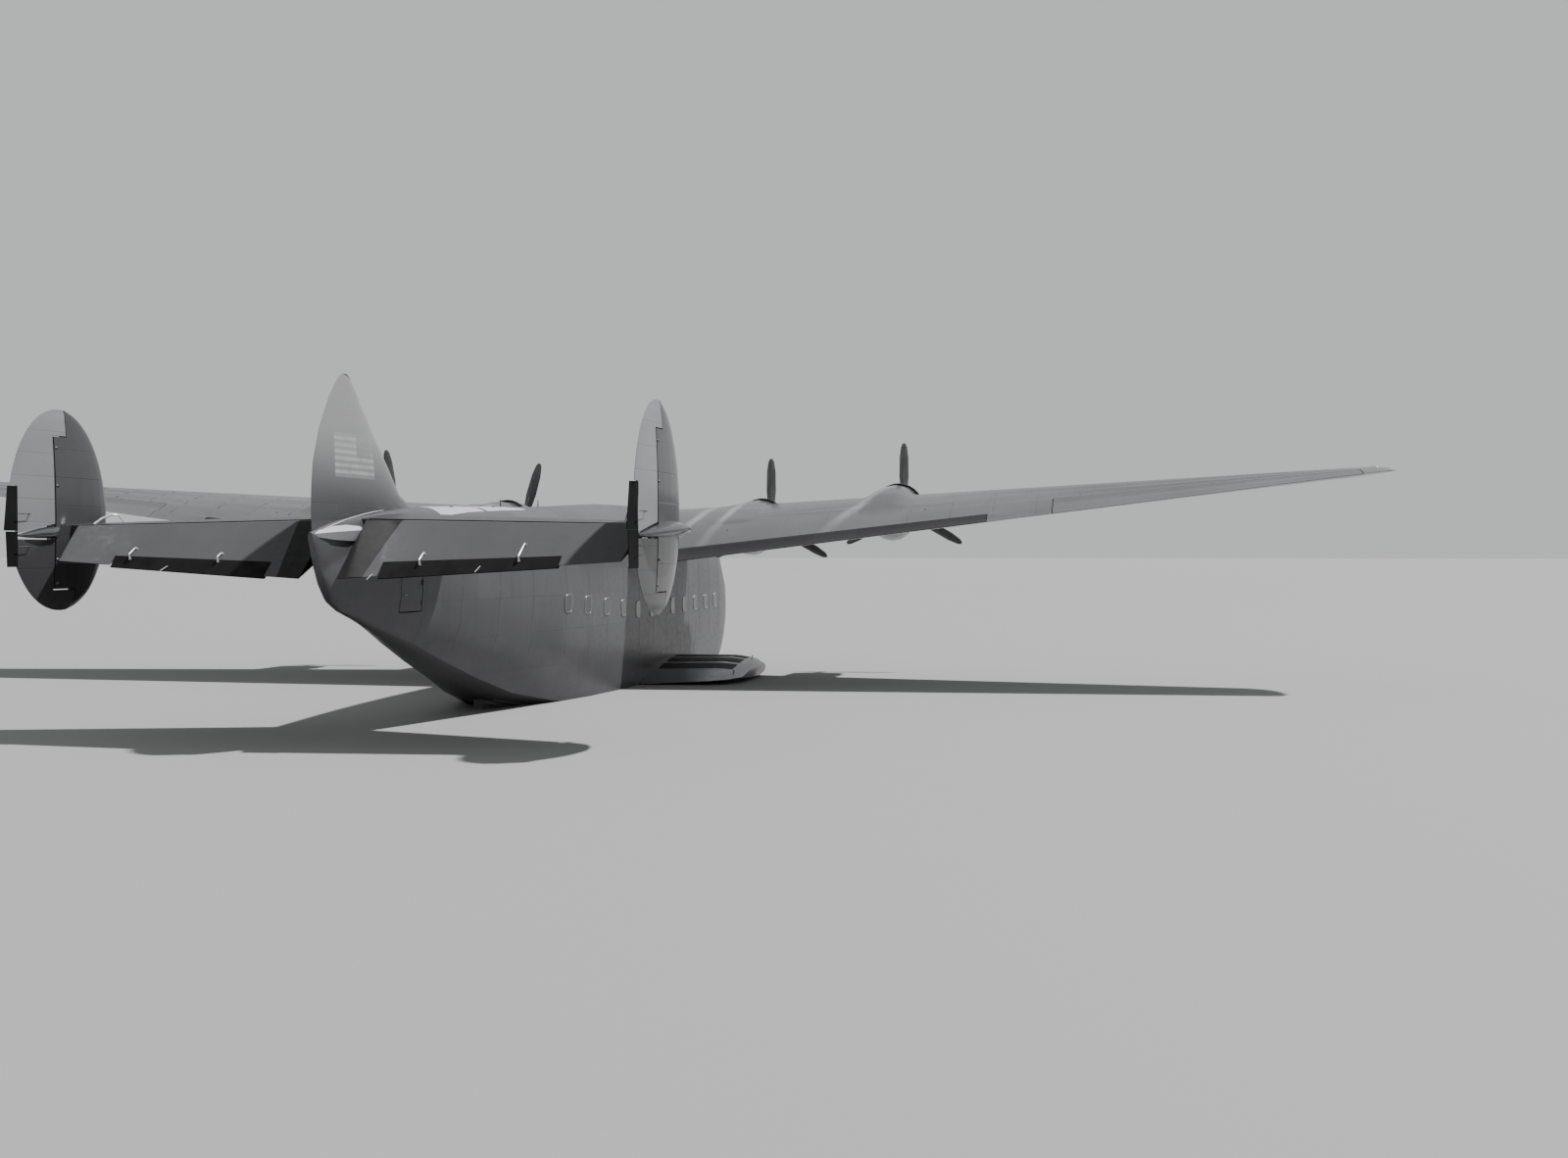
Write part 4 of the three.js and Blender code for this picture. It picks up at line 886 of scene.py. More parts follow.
def tube(work: bmesh.types.BMesh, path: list, radius: float | list, sides: int = 10) -> None:
    """Adds a closed round tube along a path.

    Args:
        work: The mesh to add to.
        path: Points along the middle.
        radius: One radius, or one for each point.
        sides: Corners of its section.
    """
    radii = radius if isinstance(radius, list) else [radius] * len(path)
    along = (path[1] - path[0]).normalized()
    guide = Vector((0, 0, 1)) if abs(along.z) < 0.9 else Vector((1, 0, 0))
    u = along.cross(guide).normalized()
    rings = []
    for i, (spot, size) in enumerate(zip(path, radii)):
        way = (path[min(i + 1, len(path) - 1)] - path[max(i - 1, 0)]).normalized()
        u = (u - way * u.dot(way)).normalized()
        w = way.cross(u)
        ring = []
        for k in range(sides):
            angle = 2 * math.pi * k / sides
            ring.append(work.verts.new(spot + (u * math.cos(angle) + w * math.sin(angle)) * size))
        rings.append(ring)
    bridge(work, rings)


def plate(work: bmesh.types.BMesh, grid: list, height: float) -> None:
    """Adds a closed thin plate over a grid of points with normals.

    Args:
        work: The mesh to add to.
        grid: Equal rows of points and outward normals.
        height: How far it stands proud, and how deep it sinks.
    """
    rows, columns = len(grid), len(grid[0])
    layers = []
    for way in (1, -1):
        lift = height * way
        layers.append([[work.verts.new(spot + normal * lift) for spot, normal in row] for row in grid])
    for i in range(rows - 1):
        for k in range(columns - 1):
            for layer in layers:
                work.faces.new((layer[i][k], layer[i][k + 1], layer[i + 1][k + 1], layer[i + 1][k]))
    top, under = layers
    rim = [(0, k) for k in range(columns)] + [(i, columns - 1) for i in range(1, rows)]
    rim += [(rows - 1, k) for k in range(columns - 2, -1, -1)] + [(i, 0) for i in range(rows - 2, 0, -1)]
    for (a, b), (c, d) in zip(rim, rim[1:] + rim[:1]):
        work.faces.new((top[a][b], top[c][d], under[c][d], under[a][b]))


def cast_grid(tracer: Tracer, starts: list, way: Vector) -> list:
    """Casts rows of rays and keeps the rows that all met the surface."""
    rows = [[tracer.hit(start, way) for start in row] for row in starts]
    return [row for row in rows if all(spot is not None for spot in row)]


def loft(work: bmesh.types.BMesh, rings: list) -> None:
    """Adds a closed body through equal rings of points."""
    bridge(work, [[work.verts.new(point) for point in ring] for ring in rings])


def tidy_normals(work: bmesh.types.BMesh, angle: float = 35.0) -> None:
    """Merges doubles, turns faces outwards and sets smooth shading."""
    bmesh.ops.remove_doubles(work, verts=work.verts, dist=MERGE_DISTANCE)
    bmesh.ops.recalc_face_normals(work, faces=work.faces)
    smooth_by_angle(work, angle)


def finish_work(
    work: bmesh.types.BMesh,
    name: str,
    material: bpy.types.Material,
    slot: Slot = Slot.SILVER,
    body: str = AIRFRAME,
    angle: float = 35.0,
) -> None:
    """Closes off a working mesh and makes a piece of it.

    Args:
        work: The mesh, which is freed.
        name: The piece's name.
        material: Its finish.
        slot: The record's material slot.
        body: The CAD body it moves with.
        angle: Edges sharper than this many degrees stay sharp.
    """
    tidy_normals(work, angle)
    finish_piece(mesh_from(work, name), name, body, material, slot)


def split_line(line: list, gap: float) -> list:
    """Splits a line of points with normals where neighbours lie further apart than a gap."""
    parts: list = [[]]
    for spot in line:
        if parts[-1] and (spot[0] - parts[-1][-1][0]).length > gap:
            parts.append([])
        parts[-1].append(spot)
    return parts


@dataclass(frozen=True)
class Cleat:
    """A horned cleat: its post's height, depth and radius, and its horns' reach and radii."""

    tall: float
    sunk: float
    post: float
    reach: float
    thin: float
    thick: float

    def stand(self, work: bmesh.types.BMesh, spot: Vector, normal: Vector) -> None:
        """Adds the cleat at a point of a surface, with its horns fore and aft."""
        head = spot + normal * self.tall
        tube(work, [spot - normal * self.sunk, head], self.post, 10)
        along = Vector((0, self.reach, 0))
        tube(work, [head - along, head, head + along], [self.thin, self.thick, self.thin], 10)


def build_lamp(name: str, centre: Vector, lens: tuple, inward: Vector, finishes: "Finishes") -> None:
    """Makes a lamp: a domed lens in a metal socket that reaches into the surface behind it.

    Args:
        name: The lens's name; the socket adds a word to it.
        centre: The middle of the lens.
        lens: The lens's reach along each axis.
        inward: From the lens into the surface that carries it.
        finishes: The shared finishes.
    """
    work = bmesh.new()
    bmesh.ops.create_uvsphere(work, u_segments=16, v_segments=10, radius=1.0)
    bmesh.ops.scale(work, vec=lens, verts=work.verts)
    bmesh.ops.translate(work, vec=centre, verts=work.verts)
    finish_work(work, name, finishes.lamp, Slot.GLASS)
    work = bmesh.new()
    radius = min(lens) * 1.12
    path = [centre, centre + inward * 0.12, centre + inward]
    tube(work, path, [radius, radius, radius * 0.8], 16)
    finish_work(work, f"{name}_socket", finishes.steel, Slot.STEEL)


# Geometry nodes


class NodeTool(NodeTree):
    """A Geometry Nodes tree with named inputs, applied to a carrier of points or lines."""

    def __init__(self, name: str, inputs: dict) -> None:
        """Starts a tree.

        Args:
            name: The tree's name.
            inputs: Socket type and default value by input name.
        """
        self.tree = bpy.data.node_groups.new(name, "GeometryNodeTree")
        interface = self.tree.interface
        interface.new_socket("Geometry", in_out="INPUT", socket_type="NodeSocketGeometry")
        for label, (kind, default) in inputs.items():
            socket = interface.new_socket(label, in_out="INPUT", socket_type=kind)
            if default is not None:
                socket.default_value = default
        interface.new_socket("Geometry", in_out="OUTPUT", socket_type="NodeSocketGeometry")
        self.entry = self.add("NodeGroupInput")
        self.exit = self.add("NodeGroupOutput")

    def close(self, instances: bpy.types.NodeSocket) -> None:
        """Ends the tree in Realize Instances and Set Material."""
        real = self.add("GeometryNodeRealizeInstances")
        paint = self.add("GeometryNodeSetMaterial")
        self.link(instances, real.inputs["Geometry"])
        self.link(real.outputs[0], paint.inputs["Geometry"])
        self.link(self.entry.outputs["Material"], paint.inputs["Material"])
        self.link(paint.outputs[0], self.exit.inputs["Geometry"])

    def facing(self) -> bpy.types.NodeSocket:
        """A rotation that turns Z to the carrier's outward attribute and Y to its upward one."""
        out = self.add("GeometryNodeInputNamedAttribute", data_type="FLOAT_VECTOR")
        out.inputs["Name"].default_value = "outward"
        up = self.add("GeometryNodeInputNamedAttribute", data_type="FLOAT_VECTOR")
        up.inputs["Name"].default_value = "upward"
        first = self.add("FunctionNodeAlignRotationToVector", axis="Z")
        second = self.add("FunctionNodeAlignRotationToVector", axis="Y", pivot_axis="Z")
        self.link(out.outputs[0], first.inputs["Vector"])
        self.link(first.outputs[0], second.inputs["Rotation"])
        self.link(up.outputs[0], second.inputs["Vector"])
        return second.outputs[0]

    def apply(self, carrier: bpy.types.Mesh, values: dict) -> bpy.types.Mesh:
        """Runs the tree on a carrier mesh.

        Args:
            carrier: Points or lines with their attributes.
            values: Input values by name.

        Returns:
            The plain mesh that results.
        """
        holder = bpy.data.objects.new("carrier", carrier)
        bpy.context.scene.collection.objects.link(holder)
        modifier = holder.modifiers.new("tool", "NODES")
        modifier.node_group = self.tree
        sockets = {
            item.name: item.identifier
            for item in self.tree.interface.items_tree
            if item.item_type == "SOCKET" and item.in_out == "INPUT"
        }
        for label, value in values.items():
            modifier[sockets[label]] = value
        graph = bpy.context.evaluated_depsgraph_get()
        graph.update()
        made = bpy.data.meshes.new_from_object(holder.evaluated_get(graph), depsgraph=graph)
        holder.modifiers.remove(modifier)
        bpy.data.objects.remove(holder)
        return made


def carrier_mesh(lines: list, upward: Vector = UP) -> bpy.types.Mesh:
    """Makes a carrier of polylines whose points hold outward and upward vectors.

    Args:
        lines: Lists of points with normals; a list of one is a lone point.
        upward: The upward vector of every point.

    Returns:
        The carrier mesh.
    """
    points: list = []
    normals: list = []
    edges: list = []
    for line in lines:
        first = len(points)
        for spot, normal in line:
            points.append(spot)
            normals.append(normal)
        edges += [(first + i, first + i + 1) for i in range(len(line) - 1)]
    mesh = bpy.data.meshes.new("carrier")
    mesh.from_pydata(points, edges, [])
    for label, vectors in (("outward", normals), ("upward", [upward] * len(points))):
        attribute = mesh.attributes.new(label, "FLOAT_VECTOR", "POINT")
        attribute.data.foreach_set("vector", [value for vector in vectors for value in vector])
    return mesh


@dataclass(frozen=True)
class Stud:
    """Sizes of one row's round heads."""

    spacing: float
    foot: float
    crown: float
    height: float
    sides: int = 6


SKIN_RIVET = Stud(0.05, 0.0026, 0.0016, 0.001)


class StudRows(NodeTool):
    """Rows of round heads along lines: rivets, cooling fins and blade clamps."""

    def __init__(self) -> None:
        """Builds the tree."""
        super().__init__("stud_rows", {
            "Spacing": ("NodeSocketFloat", 0.05),
            "Foot Radius": ("NodeSocketFloat", 0.004),
            "Crown Radius": ("NodeSocketFloat", 0.002),
            "Height": ("NodeSocketFloat", 0.002),
            "Sides": ("NodeSocketInt", 6),
            "Material": ("NodeSocketMaterial", None),
        })
        curve = self.add("GeometryNodeMeshToCurve")
        spots = self.add("GeometryNodeCurveToPoints", mode="LENGTH")
        head = self.add("GeometryNodeMeshCone", fill_type="NGON")
        place_heads = self.add("GeometryNodeInstanceOnPoints")
        for label, target in (
            ("Geometry", curve.inputs[0]),
            ("Spacing", spots.inputs["Length"]),
            ("Sides", head.inputs["Vertices"]),
            ("Crown Radius", head.inputs["Radius Top"]),
            ("Foot Radius", head.inputs["Radius Bottom"]),
            ("Height", head.inputs["Depth"]),
        ):
            self.link(self.entry.outputs[label], target)
        self.link(curve.outputs[0], spots.inputs["Curve"])
        self.link(spots.outputs["Points"], place_heads.inputs["Points"])
        self.link(head.outputs["Mesh"], place_heads.inputs["Instance"])
        self.link(self.facing(), place_heads.inputs["Rotation"])
        self.close(place_heads.outputs[0])

    def lay(
        self,
        rows: list,
        name: str,
        stud: Stud,
        material: bpy.types.Material,
        slot: Slot = Slot.SILVER,
        body: str = AIRFRAME,
        upward: Vector = UP,
    ) -> None:
        """Makes a piece of heads along lines.

        Args:
            rows: Lists of points with normals.
            name: The piece's name.
            stud: The heads' sizes.
            material: Its finish.
            slot: The record's material slot.
            body: The CAD body it moves with.
            upward: The upward vector of every point.
        """
        mesh = self.apply(carrier_mesh(rows, upward), {
            "Spacing": stud.spacing,
            "Foot Radius": stud.foot,
            "Crown Radius": stud.crown,
            "Height": stud.height,
            "Sides": stud.sides,
            "Material": material,
        })
        finish_piece(mesh, name, body, None, slot)


class WindowTool(NodeTool):
    """Shapes made of a rounded rectangle, set on points of the skin."""

    corner_steps = 4

    def __init__(self, name: str, depth: str, default: float) -> None:
        """Builds the tree.

        Args:
            name: The tree's name.
            depth: Name of the input that says how thick the shape is.
            default: That input's default.
        """
        super().__init__(name, {
            "Width": ("NodeSocketFloat", 0.2),
            "Height": ("NodeSocketFloat", 0.2),
            "Corner": ("NodeSocketFloat", 0.05),
            depth: ("NodeSocketFloat", default),
            "Material": ("NodeSocketMaterial", None),
        })
        given = self.entry.outputs
        outline = self.add("GeometryNodeCurvePrimitiveQuadrilateral")
        rounded = self.add("GeometryNodeFilletCurve", mode="POLY")
        rounded.inputs["Count"].default_value = self.corner_steps
        spread = self.add("GeometryNodeInstanceOnPoints")
        self.link(given["Width"], outline.inputs["Width"])
        self.link(given["Height"], outline.inputs["Height"])
        self.link(outline.outputs[0], rounded.inputs["Curve"])
        self.link(given["Corner"], rounded.inputs["Radius"])
        self.link(given["Geometry"], spread.inputs["Points"])
        self.link(self.shape(rounded.outputs[0], given[depth]), spread.inputs["Instance"])
        self.link(self.facing(), spread.inputs["Rotation"])
        self.close(spread.outputs[0])

    def shape(self, outline: bpy.types.NodeSocket, depth: bpy.types.NodeSocket) -> bpy.types.NodeSocket:
        """Turns the outline into a solid shape of a given depth."""
        raise NotImplementedError


class WindowFrames(WindowTool):
    """Rounded rectangular frames."""

    def __init__(self) -> None:
        """Builds the tree."""
        super().__init__("window_frames", "Bead", 0.006)

    def shape(self, outline: bpy.types.NodeSocket, depth: bpy.types.NodeSocket) -> bpy.types.NodeSocket:
        """Sweeps a bead round the outline."""
        bead = self.add("GeometryNodeCurvePrimitiveCircle")
        bead.inputs["Resolution"].default_value = 6
        sweep = self.add("GeometryNodeCurveToMesh")
        self.link(depth, bead.inputs["Radius"])
        self.link(outline, sweep.inputs["Curve"])
        self.link(bead.outputs[0], sweep.inputs["Profile Curve"])
        return sweep.outputs[0]


class WindowPanes(WindowTool):
    """Rounded rectangular panes, as thin plates."""

    def __init__(self) -> None:
        """Builds the tree."""
        super().__init__("window_panes", "Thickness", 0.004)

    def shape(self, outline: bpy.types.NodeSocket, depth: bpy.types.NodeSocket) -> bpy.types.NodeSocket:
        """Fills the outline and thickens it."""
        fill = self.add("GeometryNodeFillCurve", mode="NGONS")
        thick = self.add("GeometryNodeExtrudeMesh", mode="FACES")
        thick.inputs["Individual"].default_value = False
        self.link(outline, fill.inputs["Curve"])
        self.link(fill.outputs[0], thick.inputs["Mesh"])
        self.link(depth, thick.inputs["Offset Scale"])
        return thick.outputs[0]


# Hull


@dataclass
class Hull:
    """The hull's skin, plating straps, windows, glazing bars and fittings. Tables are full size."""

    finishes: Finishes
    studs: StudRows
    frame_stations: tuple = (
        1.1, 2.6, 4.6, 6.2, 7.7, 9.2, 10.7, 12.05, 13.6, 15.2, 16.7, 18.2, 19.7, 21.3, 23.3, 25.0, 26.7, 28.2,
    )
    strap_width: float = 0.03
    strap_height: float = 0.0012
    strap_gap: float = 0.22
    rivet: Stud = Stud(0.045, 0.0028, 0.0014, 0.0012)
    section_reach: float = 2.5
    section_axis: float = 1.0
    window_stations: tuple = (5.3, 6.8, 8.3, 9.8, 11.3, 13.8, 15.3, 16.8, 18.3, 19.8, 21.2)
    window_size: float = 0.21
    mast_places: tuple = ((21.65, 0.22), (18.7, 0.2))
    crown_panels: tuple = ((21.5, 24.2), (24.4, 27.0))
    crown_catches: tuple = (25.4, 22.6)
    chine_table: tuple = (
        (0.5, 1.3, 0.6), (1.1, 1.1, 0.92), (1.8, 0.85, 1.18), (2.6, 0.55, 1.42), (3.5, 0.25, 1.62),
        (4.6, 0.0, 1.78), (6.2, -0.28, 1.87), (8.4, -0.5, 1.9), (11.0, -0.62, 1.9), (13.6, -0.67, 1.9),
        (15.2, -0.68, 1.88), (17.2, -0.6, 1.72), (19.2, -0.42, 1.42), (21.3, -0.12, 0.95), (23.3, 0.24, 0.4),
    )
    doors: tuple = (("cabin_door", 0.06), ("aft_hatch", 0.05))
    cleat: Cleat = Cleat(0.04, 0.01, 0.01, 0.07, 0.006, 0.012)
    bar_stations: tuple = (2.72, 3.08, 3.44, 3.86, 4.26)
    bar_sides: tuple = (-0.42, -0.14, 0.14, 0.42)
    bar_width: float = 0.03
    bar_height: float = 0.004

    def build(self) -> None:
        """Makes every piece of the hull."""
        paint = self.finishes
        skin("hull", paint.hull)
        skin("cabin_door", paint.hull)
        skin("aft_hatch", paint.hull)
        skin("flight_deck_glazing", paint.glass, Slot.GLASS, name="flight_deck_panes")
        skin("planing_bottom_forward", paint.bottom, Slot.BOTTOM, name="forward_bottom_skin")
        skin("planing_bottom_aft", paint.bottom, Slot.BOTTOM, name="aft_bottom_skin")
        self.tracer = Tracer("hull")
        self.build_straps()
        self.build_windows()
        self.build_glazing_bars()
        self.build_masts()
        self.build_crown_panels()
        self.build_spray_rails()
        self.build_bow_fittings()
        for node, inset in self.doors:
            self.dress_door(node, inset)

    def build_crown_panels(self) -> None:
        """Lays the pale panels along the crown, each with a dark catch."""
        work = bmesh.new()
        for first, last in self.crown_panels:
            grid = []
            for i in range(15):
                y = place(0, first + (last - first) * i / 14, 0).y
                grid.append(self.ring(y, 87.0, 102.0, 10))
            if all(len(row) == len(grid[0]) for row in grid):
                plate(work, grid, 0.004)
        finish_work(work, "crown_panels", self.finishes.panel)
        work = bmesh.new()
        for station in self.crown_catches:
            spot, normal = self.ring(place(0, station, 0).y, 93.0, 94.0, 1)[0]
            ends = [spot + Vector((0, way * 0.05, 0)) + normal * 0.008 for way in (-1, 1)]
            tube(work, [ends[0] - normal * 0.01, ends[0], ends[1], ends[1] - normal * 0.01], 0.005, 8)
        finish_work(work, "crown_catches", self.finishes.dark, Slot.STEEL)

    def build_spray_rails(self) -> None:
        """Runs the rounded rail along each chine."""
        work = bmesh.new()
        for side in Side:
            path = [
                place(side.value * (half + 0.002), station, height - 0.012)
                for station, height, half in self.chine_table
            ]
            tube(work, path, 0.008, 8)
        finish_work(work, "chine_rails", self.finishes.bottom, Slot.BOTTOM, angle=60.0)

    def build_bow_fittings(self) -> None:
        """Sets the mooring hatch's coaming and two cleats on the bow."""
        work = bmesh.new()
        ring = []
        for i in range(25):
            angle = 2 * math.pi * i / 24
            start = place(0.26 * math.cos(angle), 2.05 + 0.3 * math.sin(angle), 8.0)
            ring.append(self.tracer.hit(start, DOWN)[0])
        tube(work, ring, 0.008, 8)
        for side in Side:
            self.cleat.stand(work, *self.tracer.hit(place(side.value * 0.42, 1.15, 8.0), DOWN))
        finish_work(work, "bow_fittings", self.finishes.steel, Slot.STEEL, angle=50.0)

    def dress_door(self, node: str, inset: float) -> None:
        """Frames a door's opening, and puts a handle on the door.

        Args:
            node: The door's CAD node.
            inset: Distance of the handle from the door's aft edge.
        """
        low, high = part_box(node)
        way = 1.0 if low[0] + high[0] > 0 else -1.0
        out = Vector((way, 0, 0))
        margin = 0.02
        y_low, y_high = low[1] - margin, high[1] + margin
        z_low, z_high = low[2] - margin, high[2] + margin
        corners = [(y_low, z_low), (y_high, z_low), (y_high, z_high), (y_low, z_high), (y_low, z_low)]
        work = bmesh.new()
        for (y_a, z_a), (y_b, z_b) in zip(corners, corners[1:]):
            starts = [
                Vector((0, y_a + (y_b - y_a) * i / 6, z_a + (z_b - z_a) * i / 6)) + out * 3.0
                for i in range(7)
            ]
            line = self.tracer.trace(starts, -out, 3.0)
            if len(line) > 2:
                ribbon(work, line, 0.012, 0.0015)
        finish_work(work, f"{node}_frame", self.finishes.engine)
        door = Tracer(node)
        y = high[1] - inset
        z = low[2] + 0.45 * (high[2] - low[2])
        found = door.hit(Vector((0, y, z)) + out * 3.0, -out, 3.0)
        if found is None:
            return
        spot, normal = found
        work = bmesh.new()
        grip = Vector((0, -0.09, 0))
        stand = normal * 0.008
        tube(work, [spot, spot + stand, spot + stand + grip, spot + grip], 0.004, 8)
        finish_work(work, f"{node}_handle", self.finishes.steel, Slot.STEEL, body_of_node(node))

    def ring(self, y: float, start: float, end: float, steps: int) -> list:
        """Outer points of the hull's section at y, from one angle to another in degrees."""
        return self.tracer.ring(y, self.section_reach, self.section_axis, start, end, steps)

    def build_straps(self) -> None:
        """Lays butt straps round the frames and rows of rivets on them."""
        work = bmesh.new()
        rows = []
        for station in self.frame_stations:
            line = self.ring(place(0, station, 0).y, -24.0, 204.0, 44)
            for part in split_line(line, self.strap_gap):
                if len(part) < 3:
                    continue
                ribbon(work, part, self.strap_width, self.strap_height)
                for shift in (-0.3, 0.3):
                    offset = Vector((0, self.strap_width * shift, 0))
                    rows.append([
                        (spot + offset + normal * self.strap_height, normal) for spot, normal in part
                    ])
        finish_work(work, "hull_straps", self.finishes.hull)
        for side in Side:
            out = Vector((side.value, 0, 0))
            rows.append([
                (place(side.value * (half + 0.005), station, height + 0.03), out)
                for station, height, half in self.chine_table
            ])
        self.studs.lay(rows, "hull_rivets", self.rivet, self.finishes.rivet)

    def window_height(self, station: float) -> float:
        """Height of the cabin windows, which climb with the deck aft."""
        return 2.2 + max(0.0, station - 15.0) * 0.06

    def build_windows(self) -> None:
        """Sets the cabin windows and their frames on both sides by Geometry Nodes."""
        points = []
        for side in Side:
            for station in self.window_stations:
                aim = place(0, station, self.window_height(station))
                found = self.tracer.hit(aim + Vector((side.value * 3.0, 0, 0)), Vector((-side.value, 0, 0)))
                if found is not None:
                    spot, normal = found
                    points.append([(spot + normal * 0.0025, normal)])
        size = {"Width": self.window_size, "Height": self.window_size * 1.1, "Corner": 0.05}
        for name, tool, depth, paint, slot in (
            ("cabin_window_frames", WindowFrames(), {"Bead": 0.007}, self.finishes.cowl, Slot.SILVER),
            ("cabin_window_panes", WindowPanes(), {"Thickness": 0.003}, self.finishes.glass, Slot.GLASS),
        ):
            mesh = tool.apply(carrier_mesh(points), {**size, **depth, "Material": paint})
            finish_piece(mesh, name, AIRFRAME, None, slot)

    def build_glazing_bars(self) -> None:
        """Lays the bars between the flight deck's panes."""
        tracer = Tracer("flight_deck_glazing")
        lines: list = []
        for station in self.bar_stations:
            line = tracer.ring(place(0, station, 0).y, self.section_reach, 1.7, -10.0, 190.0, 60)
            lines += split_line(line, 0.2)
        for x in self.bar_sides:
            stations = [2.64 + (3.6 - 2.64) * i / 13 for i in range(14)]
            starts = [Vector((x, place(0, station, 0).y, 3.2)) for station in stations]
            lines.append(tracer.trace(starts, DOWN))
        work = bmesh.new()
        for line in lines:
            if len(line) > 2:
                ribbon(work, line, self.bar_width, self.bar_height)
        finish_work(work, "glazing_bars", self.finishes.hull)

    def build_masts(self) -> None:
        """Stands the two short aerial masts on the crown."""
        work = bmesh.new()
        for station, tall in self.mast_places:
            base = self.tracer.hit(place(0, station, 8.0), DOWN)
            foot = base[0] - Vector((0, 0, 0.01))
            top = foot + Vector((0, 0, tall * MODEL_SCALE))
            tube(work, [foot, foot + Vector((0, 0, 0.012)), top], [0.012, 0.008, 0.005], 10)
        finish_work(work, "crown_masts", self.finishes.dark, Slot.STEEL)


# Wings


@dataclass
class Wing:
    """One wing with its flap and aileron. Tables are full size."""

    side: Side
    finishes: Finishes
    studs: StudRows
    rib_sides: tuple = tuple(2.4 + 1.22 * i for i in range(17))
    vents: tuple = ((4.36, 14.39), (10.16, 13.97))

    def build(self) -> None:
        """Makes the wing's skins, straps and fittings."""
        label = self.side.label
        paint = self.finishes
        for panel in ("inner", "outer"):
            skin(f"wing_{panel}_{label}", paint.wing)
        # the flap's dark paint is painted shade
        skin(f"flap_{label}", paint.flap, Slot.FABRIC)
        skin(f"aileron_{label}", paint.fabric, Slot.FABRIC)
        self.build_straps()
        self.build_vents()
        out = self.side.value
        tip = place(out * 22.85, 12.9, 6.3)
        build_lamp(f"tip_lamp_{label}", tip, (0.018, 0.037, 0.018), Vector((-out * 0.07, 0, 0)), paint)

    def build_straps(self) -> None:
        """Lays chordwise butt straps and their rivets on both faces."""
        label = self.side.label
        tracer = Tracer(f"wing_inner_{label}", f"wing_outer_{label}")
        work = bmesh.new()
        rows = []
        for side in self.rib_sides:
            for way in (-1, 1):
                line: list = []
                for i in range(15):
                    station = 9.3 + side * 0.13 + i * (13.9 - 9.3 - side * 0.04) / 14
                    start = place(self.side.value * side, station, 5.0) - Vector((0, 0, way * 3.0))
                    found = tracer.hit(start, Vector((0, 0, way)))
                    if found is None or abs(found[1].z) < 0.5:
                        continue
                    if line and (found[0] - line[-1][0]).length > 0.3:
                        break
                    line.append(found)
                if len(line) > 3:
                    ribbon(work, line, 0.024, 0.001)
                    rows.append([(spot + normal * 0.001, normal) for spot, normal in line])
        finish_work(work, f"wing_{label}_straps", self.finishes.wing)
        self.studs.lay(rows, f"wing_{label}_rivets", SKIN_RIVET, self.finishes.rivet)

    def build_vents(self) -> None:
        """Sets the small tank vents in the upper skin as dark discs of painted shade, each with a raised rim.
        """
        label = self.side.label
        tracer = Tracer(f"wing_inner_{label}", f"wing_outer_{label}")
        rims, holes = bmesh.new(), bmesh.new()
        for side, station in self.vents:
            found = tracer.hit(place(self.side.value * side, station, 12.0), DOWN)
            if found is None:
                continue
            spot, normal = found
            tube(rims, [spot - normal * 0.004, spot + normal * 0.002], [0.019, 0.017], 16)
            # painted shade: a dark disc stands for the shade inside the vent
            tube(holes, [spot, spot + normal * 0.003], 0.013, 16)
        for work, part, paint in ((rims, "rims", self.finishes.wing), (holes, "vents", self.finishes.dark)):
            finish_work(work, f"wing_{label}_{part}", paint)


# Engines


